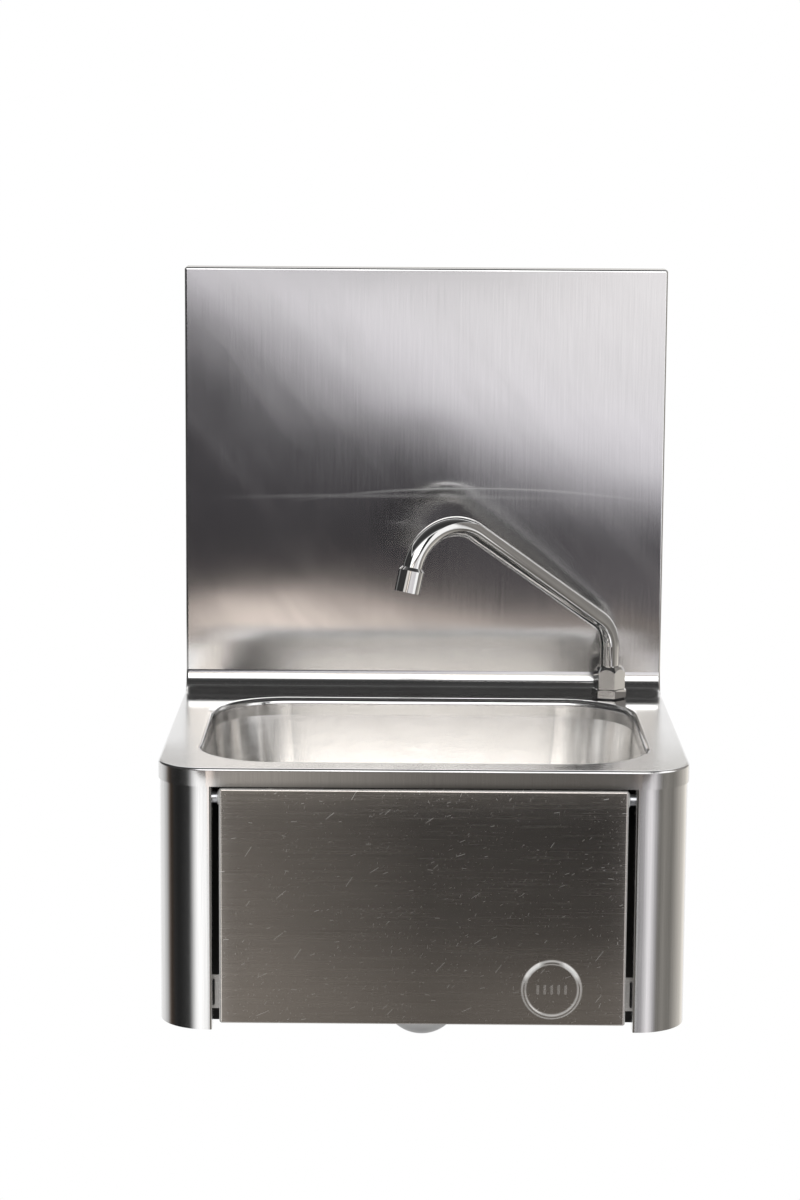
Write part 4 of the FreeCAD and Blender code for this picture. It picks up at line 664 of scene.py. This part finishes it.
# Tints of the light on the boards, from cool to warm.
VIOLET = (1.0, 0.94, 1.04)
SILVER = (1.01, 0.985, 1.01)
NEUTRAL = (1.0, 1.0, 1.0)
IVORY = (1.03, 1.0, 0.96)
PALE = (1.0, 0.96, 0.92)
CREAM = (1.0, 0.95, 0.90)
SAND = (1.05, 1.0, 0.92)
DUNE = (1.07, 1.0, 0.92)
STRAW = (1.08, 1.0, 0.91)
OCHRE = (1.10, 0.99, 0.88)
ROSE = (1.0, 0.87, 0.79)

FILL, BACKDROP = 0.35, 1.0      # light of the surroundings: on the part, and as they are seen
FLOOR_GLOW = 0.45               # lifts the floor to the backdrop's white

# Dark cards inside the body: name, width, height, middle.
CARDS = (("wall_shade", 0.376, 0.195, (0.0, -0.0006, 0.0045)),
         ("left_gap_shade", 0.050, 0.198, (-0.167, -0.286, 0.0)),
         ("right_gap_shade", 0.050, 0.198, (0.167, -0.286, 0.0)))

# The camera's place and turns, in this order, fitted to the sheet's corners in the photo.
CAMERA_PLACE = (-0.0091, -2.5525, 0.5908)
CAMERA_TURNS = (("Z", 0.0043), ("X", -0.1584), ("Y", -0.0065), ("X", math.pi / 2))


def plane(name, width, height, place, turn):
    """A flat board of the stage. Its own X runs along the width and its own Y along the height."""
    mesh = bmesh.new()
    bmesh.ops.create_grid(mesh, x_segments=1, y_segments=1, size=0.5)
    bmesh.ops.scale(mesh, vec=(width, height, 1.0), verts=mesh.verts)
    data = bpy.data.meshes.new(name)
    mesh.to_mesh(data)
    mesh.free()
    board = bpy.data.objects.new(name, data)
    bpy.context.scene.collection.objects.link(board)
    board.location = place
    board.rotation_euler = turn
    return board


def toned(tint, *steps):
    """Stops of one tint: each step is a place in metres and a brightness."""
    return [(place, tuple(level * part for part in tint)) for place, level in steps]


def along(board, value, stops):
    """A colour that changes along a length: stops are places in metres, each with its colour."""
    low, high = stops[0][0], stops[-1][0]
    places = [((place - low) / (high - low), colour) for place, colour in stops]
    return board.ramp(board.span(value, low, high, 0.0, 1.0), places)


def reflection_board(name, low, high, place, turn, build):
    """A glowing board that shows in reflections alone. Build gets its two flat coordinates, in
    the room's metres from the low corner to the high one, and returns the colour."""
    width, height = high[0] - low[0], high[1] - low[1]
    board = plane(name, width, height, place, turn)
    board.visible_camera = False
    board.visible_diffuse = False
    board.visible_shadow = False
    board.visible_transmission = False
    board.visible_volume_scatter = False
    glow = Finish(name + "_light")
    own = glow.split(glow.object_place)
    across = glow.math("ADD", own[0], (low[0] + high[0]) / 2)
    rise = glow.math("ADD", own[1], (low[1] + high[1]) / 2)
    light = glow.add("ShaderNodeEmission")
    glow.feed(light.inputs["Color"], build(glow, across, rise))
    light.inputs["Strength"].default_value = settings().stage.board
    end = glow.add("ShaderNodeOutputMaterial")
    glow.feed(end.inputs["Surface"], light.outputs[0])
    board.data.materials.append(glow.material)


def upright_board(name, low, high, back, build):
    """A reflection board across the room, from low to high in X and Z, at the given Y."""
    middle = ((low[0] + high[0]) / 2, back, (low[1] + high[1]) / 2)
    reflection_board(name, low, high, middle, UPRIGHT, build)


def side_board(name, low, high, aside, build):
    """A reflection board beside the basin, from low to high in Y and Z, at the given X."""
    middle = (aside, (low[0] + high[0]) / 2, (low[1] + high[1]) / 2)
    reflection_board(name, low, high, middle, SIDEWAYS, build)


def ceiling_board(name, low, high, above, build):
    """A reflection board over the basin, from low to high in X and Y, at the given Z."""
    middle = ((low[0] + high[0]) / 2, (low[1] + high[1]) / 2, above)
    reflection_board(name, low, high, middle, LEVEL, build)


def front_bright(board, across, rise, over):
    """Fades with the height over the edge, with a lighter right corner and a dark wedge."""
    bright = along(board, over, [(0.0, (1.13, 1.10, 1.18)), (0.06, (1.10, 1.07, 1.13)),
                                 (0.15, (0.98, 0.96, 0.99)), (0.3, (0.94, 0.92, 0.94))])
    corner = board.math("MULTIPLY", board.span(across, 0.15, 0.4, 0.0, 0.16),
                        board.span(rise, 0.18, 0.32, 0.0, 1.0))
    bright = board.mixed(corner, bright, (1.9, 1.85, 1.85))
    aside = board.math("ABSOLUTE", board.math("ADD", across, 0.05))
    wedge = board.math("MULTIPLY", board.span(rise, 0.29, 0.37, 0.0, 0.62, smooth=True),
                       board.span(aside, 0.05, 0.26, 1.0, 0.0, smooth=True))
    return board.mixed(wedge, bright, (0.16, 0.155, 0.165))


def front_light(board, across, rise):
    """Bright above a slanting edge and dark below it, with a warm band along the bottom. Four
    level bands over that light the splashback's foot, the deck, its rim and the bowl."""
    # The edge's height as a brightness. No brightness is below 0, so it is kept 0.1 m too high.
    edge = along(board, across, toned(
        NEUTRAL, (-0.80, 0.60), (-0.349, 0.395), (-0.19, 0.31), (-0.063, 0.245), (0.064, 0.190),
        (0.191, 0.135), (0.262, 0.112), (0.365, 0.10), (0.80, 0.03)))
    over = board.math("ADD", board.math("SUBTRACT", rise, board.split(edge)[0]), 0.1)
    softness = board.span(across, -0.2, 0.3, 0.012, 0.095)
    step = board.span(board.math("DIVIDE", over, softness), -1.0, 1.0, 0.0, 1.0, smooth=True)
    dark = along(board, across, toned(
        VIOLET, (-0.5, 0.05), (-0.2, 0.033), (0.0, 0.04), (0.25, 0.075), (0.4, 0.13)))
    dark = board.mixed(board.span(over, -0.15, 0.0, 0.0, 0.95), dark, (0.0, 0.0, 0.0))
    light = board.mixed(step, dark, front_bright(board, across, rise, over))
    low = along(board, across, toned(
        ROSE, (-0.45, 0.15), (-0.35, 0.25), (-0.27, 1.9), (-0.19, 1.75), (-0.06, 0.80),
        (0.06, 0.60), (0.19, 0.52), (0.30, 0.25), (0.37, 0.12), (0.5, 0.12)))
    below = board.math("SUBTRACT", board.span(across, -0.2, 0.35, -0.175, -0.205), rise)
    light = board.mixed(board.span(below, -0.012, 0.012, 0.0, 1.0, smooth=True), light, low)
    foot = toned(OCHRE, (-0.45, 0.40), (-0.35, 0.55), (-0.29, 2.5), (-0.22, 1.7), (-0.15, 0.88),
                 (0.2, 0.82), (0.3, 0.50), (0.36, 0.36))
    deck = toned(IVORY, (-0.5, 1.0), (-0.32, 1.15), (-0.26, 2.7), (0.24, 2.7), (0.30, 0.9),
                 (0.52, 0.7), (0.62, 0.08))
    rim = toned(PALE, (-0.5, 1.10), (-0.1, 0.95), (0.16, 0.40), (0.52, 0.70))
    rim += toned(NEUTRAL, (0.62, 0.08))
    bowl = toned(NEUTRAL, (-1.45, 0.03), (-1.20, 0.2), (-1.0, 2.4), (-0.3, 2.75), (0.2, 2.8),
                 (0.95, 2.4), (1.15, 0.2), (1.4, 0.03))
    for first, last, band in ((0.42, 0.50, foot), (0.545, 0.570, deck), (0.605, 0.630, rim),
                              (0.730, 0.760, bowl)):
        share_of_band = board.span(rise, first, last, 0.0, 1.0, smooth=True)
        light = board.mixed(share_of_band, light, along(board, across, band))
    return light


def flag_row(board, across, tint, left, middle, right):
    return along(board, across, toned(tint, (-0.132, left), (0.0, middle), (0.126, right)))


def flag_shade(board, across, rise):
    """Dark before the knee panel, less so to its left and along its foot, and lighter still
    along the top, where the apron is."""
    low = flag_row(board, across, STRAW, 0.228, 0.132, 0.150)
    middle = flag_row(board, across, DUNE, 0.180, 0.056, 0.040)
    high = flag_row(board, across, DUNE, 0.140, 0.030, 0.014)
    apron = flag_row(board, across, STRAW, 0.35, 0.17, 0.125)
    shade = board.mixed(board.span(rise, -0.090, -0.020, 0.0, 1.0, smooth=True), low, middle)
    shade = board.mixed(board.span(rise, -0.01, 0.05, 0.0, 1.0), shade, high)
    return board.mixed(board.span(rise, 0.079, 0.087, 0.0, 1.0, smooth=True), shade, apron)


def left_strip_light(board, across, rise):
    return along(board, across, toned(
        NEUTRAL, (-0.50, 0.10), (-0.485, 0.13), (-0.44, 0.38), (-0.395, 0.80), (-0.32, 1.36),
        (-0.265, 1.34), (-0.21, 1.18), (-0.183, 0.95)))


def right_strip_light(board, across, rise):
    return along(board, across, toned(
        SILVER, (0.18, 0.22), (0.21, 0.28), (0.253, 0.48), (0.296, 0.78), (0.342, 1.03),
        (0.401, 0.78), (0.463, 0.46), (0.52, 0.28)))


def side_light(board, across, rise, low, high):
    """Beside the skirts a side board has its low light, and over the deck its high light."""
    share_of_high = board.span(rise, 0.06, 0.12, 0.0, 1.0, smooth=True)
    return board.mixed(share_of_high, along(board, across, low), along(board, across, high))


def left_side_light(board, across, rise):
    low = toned(NEUTRAL, (-0.68, 0.05), (-0.498, 0.025), (-0.42, 0.018), (-0.35, 0.03))
    low += [(-0.27, (0.05, 0.035, 0.025)), (-0.23, (0.20, 0.17, 0.15))]
    low += toned(NEUTRAL, (-0.18, 0.52), (-0.036, 0.88), (0.3, 0.95))
    high = toned(NEUTRAL, (-0.68, 0.06), (-0.02, 0.05), (0.3, 0.5))
    return side_light(board, across, rise, low, high)


def right_side_light(board, across, rise):
    low = toned(SAND, (-0.68, 0.24), (-0.585, 0.18), (-0.498, 0.27), (-0.42, 0.22),
                (-0.35, 0.20), (-0.273, 0.34), (-0.18, 0.50), (-0.06, 0.66), (0.1, 0.95))
    high = toned(NEUTRAL, (-0.68, 1.5), (-0.38, 1.5))
    high += toned(CREAM, (-0.33, 0.28), (-0.2, 0.36), (0.0, 0.30), (0.3, 0.42))
    return side_light(board, across, rise, low, high)


def ceiling_shade(board, across, rise):
    return along(board, rise, toned(
        NEUTRAL, (-2.30, 1.5), (-1.95, 1.2), (-1.75, 0.10), (-1.0, 0.05), (-0.2, 0.07),
        (0.6, 0.25)))


def back_light(board, across, rise):
    return board.mixed(board.span(across, -0.3, 0.3, 0.0, 1.0), (0.60, 0.585, 0.57),
                       (0.66, 0.645, 0.62))


# Each board: its layout, its name, its low and high corner, its place on the third axis, its light.
BOARDS = (
    (upright_board, "front_board", (-2.2, -0.42), (2.2, 1.95), -2.30, front_light),
    (upright_board, "low_flag", (-0.160, -0.42), (0.160, 0.098), -0.405, flag_shade),
    (upright_board, "left_strip", (-0.50, -0.62), (-0.18, 0.030), -0.66, left_strip_light),
    (upright_board, "right_strip", (0.18, -0.62), (0.52, 0.030), -0.66, right_strip_light),
    (side_board, "left_board", (-0.68, -0.58), (0.30, 0.62), -0.52, left_side_light),
    (side_board, "right_board", (-0.68, -0.58), (0.30, 0.62), 0.52, right_side_light),
    (ceiling_board, "ceiling_board", (-2.2, -2.30), (2.2, 0.60), 1.95, ceiling_shade),
    (upright_board, "back_board", (-0.8, 0.36), (0.8, 0.66), 0.90, back_light),
)


class BASIN_OT_stage(bpy.types.Operator):
    """Set the floor, the softboxes, the reflection boards and the camera"""
    bl_idname = "wash_basin.stage"
    bl_label = "Stage"

    def execute(self, context):
        look = settings().stage
        scene = context.scene
        self.background(scene)
        self.floor(look)
        self.wall_shade()
        self.lamp("overhead", (0.0, -0.75, 1.75), (0.0, -0.22, 0.1), 1.5, 1.1, look.overhead)
        self.lamp("left", (-1.9, -1.5, 0.9), (0.0, -0.2, 0.1), 1.0, 1.3, look.side)
        self.lamp("front", (0.35, -2.9, 1.7), (0.0, -0.2, 0.1), 1.4, 0.9, look.front)
        for layout, *board in BOARDS:
            layout(*board)
        self.camera(scene, look)
        scene.view_settings.view_transform = "Standard"
        return {"FINISHED"}

    def background(self, scene):
        """Plain white to the camera, in reflections and through glass. A dimmer fill lights
        the rest."""
        world = bpy.data.worlds.new("studio")
        scene.world = world
        world.use_nodes = True
        tree = world.node_tree
        tree.nodes.clear()
        path = tree.nodes.new("ShaderNodeLightPath")
        seen = path.outputs["Is Camera Ray"]
        for ray in ("Is Glossy Ray", "Is Transmission Ray"):
            either = tree.nodes.new("ShaderNodeMath")
            either.operation = "MAXIMUM"
            tree.links.new(seen, either.inputs[0])
            tree.links.new(path.outputs[ray], either.inputs[1])
            seen = either.outputs[0]
        choose = tree.nodes.new("ShaderNodeMixShader")
        tree.links.new(seen, choose.inputs[0])
        for socket, strength in zip(choose.inputs[1:], (FILL, BACKDROP)):
            white = tree.nodes.new("ShaderNodeBackground")
            white.inputs["Color"].default_value = (1, 1, 1, 1)
            white.inputs["Strength"].default_value = strength
            tree.links.new(white.outputs[0], socket)
        end = tree.nodes.new("ShaderNodeOutputWorld")
        tree.links.new(choose.outputs[0], end.inputs[0])

    def floor(self, look):
        """A matte floor that also glows a little, to the camera alone."""
        board = plane("floor", 4.4, 3.2, (0.0, -0.6, -0.76), LEVEL)
        ground = Finish("pale_floor")
        matte = ground.add("ShaderNodeBsdfDiffuse")
        ground.feed(matte.inputs["Color"], tuple(look.floor))
        glow = ground.add("ShaderNodeMixShader")
        seen = ground.add("ShaderNodeLightPath").outputs["Is Camera Ray"]
        ground.feed(glow.inputs[0], seen)
        for socket, strength in zip(glow.inputs[1:], (0.0, FLOOR_GLOW)):
            light = ground.add("ShaderNodeEmission")
            ground.feed(light.inputs["Strength"], strength)
            ground.feed(socket, light.outputs[0])
        both = ground.add("ShaderNodeAddShader")
        ground.feed(both.inputs[0], matte.outputs[0])
        ground.feed(both.inputs[1], glow.outputs[0])
        end = ground.add("ShaderNodeOutputMaterial")
        ground.feed(end.inputs["Surface"], both.outputs[0])
        board.data.materials.append(ground.material)

    def wall_shade(self):
        """Dark cards for the inside of the body, behind it and behind the gaps beside the panel.
        They are clear from behind."""
        wall = Finish("shaded_wall")
        matte = wall.add("ShaderNodeBsdfDiffuse")
        matte.inputs["Color"].default_value = (0.03, 0.029, 0.028, 1.0)
        clear = wall.add("ShaderNodeBsdfTransparent")
        one_side = wall.add("ShaderNodeMixShader")
        wall.feed(one_side.inputs[0], wall.add("ShaderNodeNewGeometry").outputs["Backfacing"])
        wall.feed(one_side.inputs[1], matte.outputs[0])
        wall.feed(one_side.inputs[2], clear.outputs[0])
        end = wall.add("ShaderNodeOutputMaterial")
        wall.feed(end.inputs["Surface"], one_side.outputs[0])
        for name, width, height, place in CARDS:
            board = plane(name, width, height, place, UPRIGHT)
            board.visible_shadow = False
            board.data.materials.append(wall.material)

    def lamp(self, name, place, aim, width, height, power):
        light = bpy.data.lights.new(name, "AREA")
        light.shape = "RECTANGLE"
        light.size = width
        light.size_y = height
        light.energy = power
        lamp = bpy.data.objects.new(name, light)
        lamp.location = place
        lamp.rotation_euler = (Vector(aim) - Vector(place)).to_track_quat("-Z", "Y").to_euler()
        lamp.visible_glossy = False
        bpy.context.scene.collection.objects.link(lamp)

    def camera(self, scene, look):
        data = bpy.data.cameras.new("photo_view")
        data.lens = look.lens
        data.sensor_width = 36.0
        data.clip_end = 60.0
        camera = bpy.data.objects.new("photo_view", data)
        scene.collection.objects.link(camera)
        turn = Matrix.Identity(4)
        for axis, angle in CAMERA_TURNS:
            turn = turn @ Matrix.Rotation(angle, 4, axis)
        camera.matrix_world = Matrix.Translation(CAMERA_PLACE) @ turn
        scene.camera = camera


# ---------------------------------------------------------------- add-on layout

class BASIN_PT_panel(bpy.types.Panel):
    """Lists the steps that dress the wash basin"""
    bl_label = "Wash Basin"
    bl_idname = "BASIN_PT_panel"
    bl_space_type = "VIEW_3D"
    bl_region_type = "UI"
    bl_category = "Wash Basin"

    def draw(self, context):
        look = context.scene.wash_basin
        for group, step in GROUPS:
            box = self.layout.box()
            values = getattr(look, group)
            for name in values.__annotations__:
                box.prop(values, name)
            for idname in step:
                box.operator(idname)


GROUPS = (
    ("sheet", ("wash_basin.sheet",)),
    ("bowl", ("wash_basin.bowl",)),
    ("panel", ("wash_basin.panel",)),
    ("bars", ("wash_basin.bars",)),
    ("fittings", ("wash_basin.chrome", "wash_basin.valve", "wash_basin.mouldings")),
    ("stage", ("wash_basin.stage",)),
)

CLASSES = (
    SheetSettings, BowlSettings, PanelSettings, BarSettings, FittingSettings, StageSettings,
    BasinSettings, BASIN_OT_sheet, BASIN_OT_bowl, BASIN_OT_panel, BASIN_OT_bars,
    BASIN_OT_chrome, BASIN_OT_valve, BASIN_OT_mouldings, BASIN_OT_stage, BASIN_PT_panel,
)


def register():
    for kind in CLASSES:
        bpy.utils.register_class(kind)
    bpy.types.Scene.wash_basin = PointerProperty(type=BasinSettings)


def unregister():
    del bpy.types.Scene.wash_basin
    for kind in reversed(CLASSES):
        bpy.utils.unregister_class(kind)


def main():
    register()
    bpy.ops.wash_basin.stage()
    bpy.ops.wash_basin.sheet()
    bpy.ops.wash_basin.bowl()
    bpy.ops.wash_basin.panel()
    bpy.ops.wash_basin.bars()
    bpy.ops.wash_basin.chrome()
    bpy.ops.wash_basin.valve()
    bpy.ops.wash_basin.mouldings()


if __name__ == "__main__":
    main()
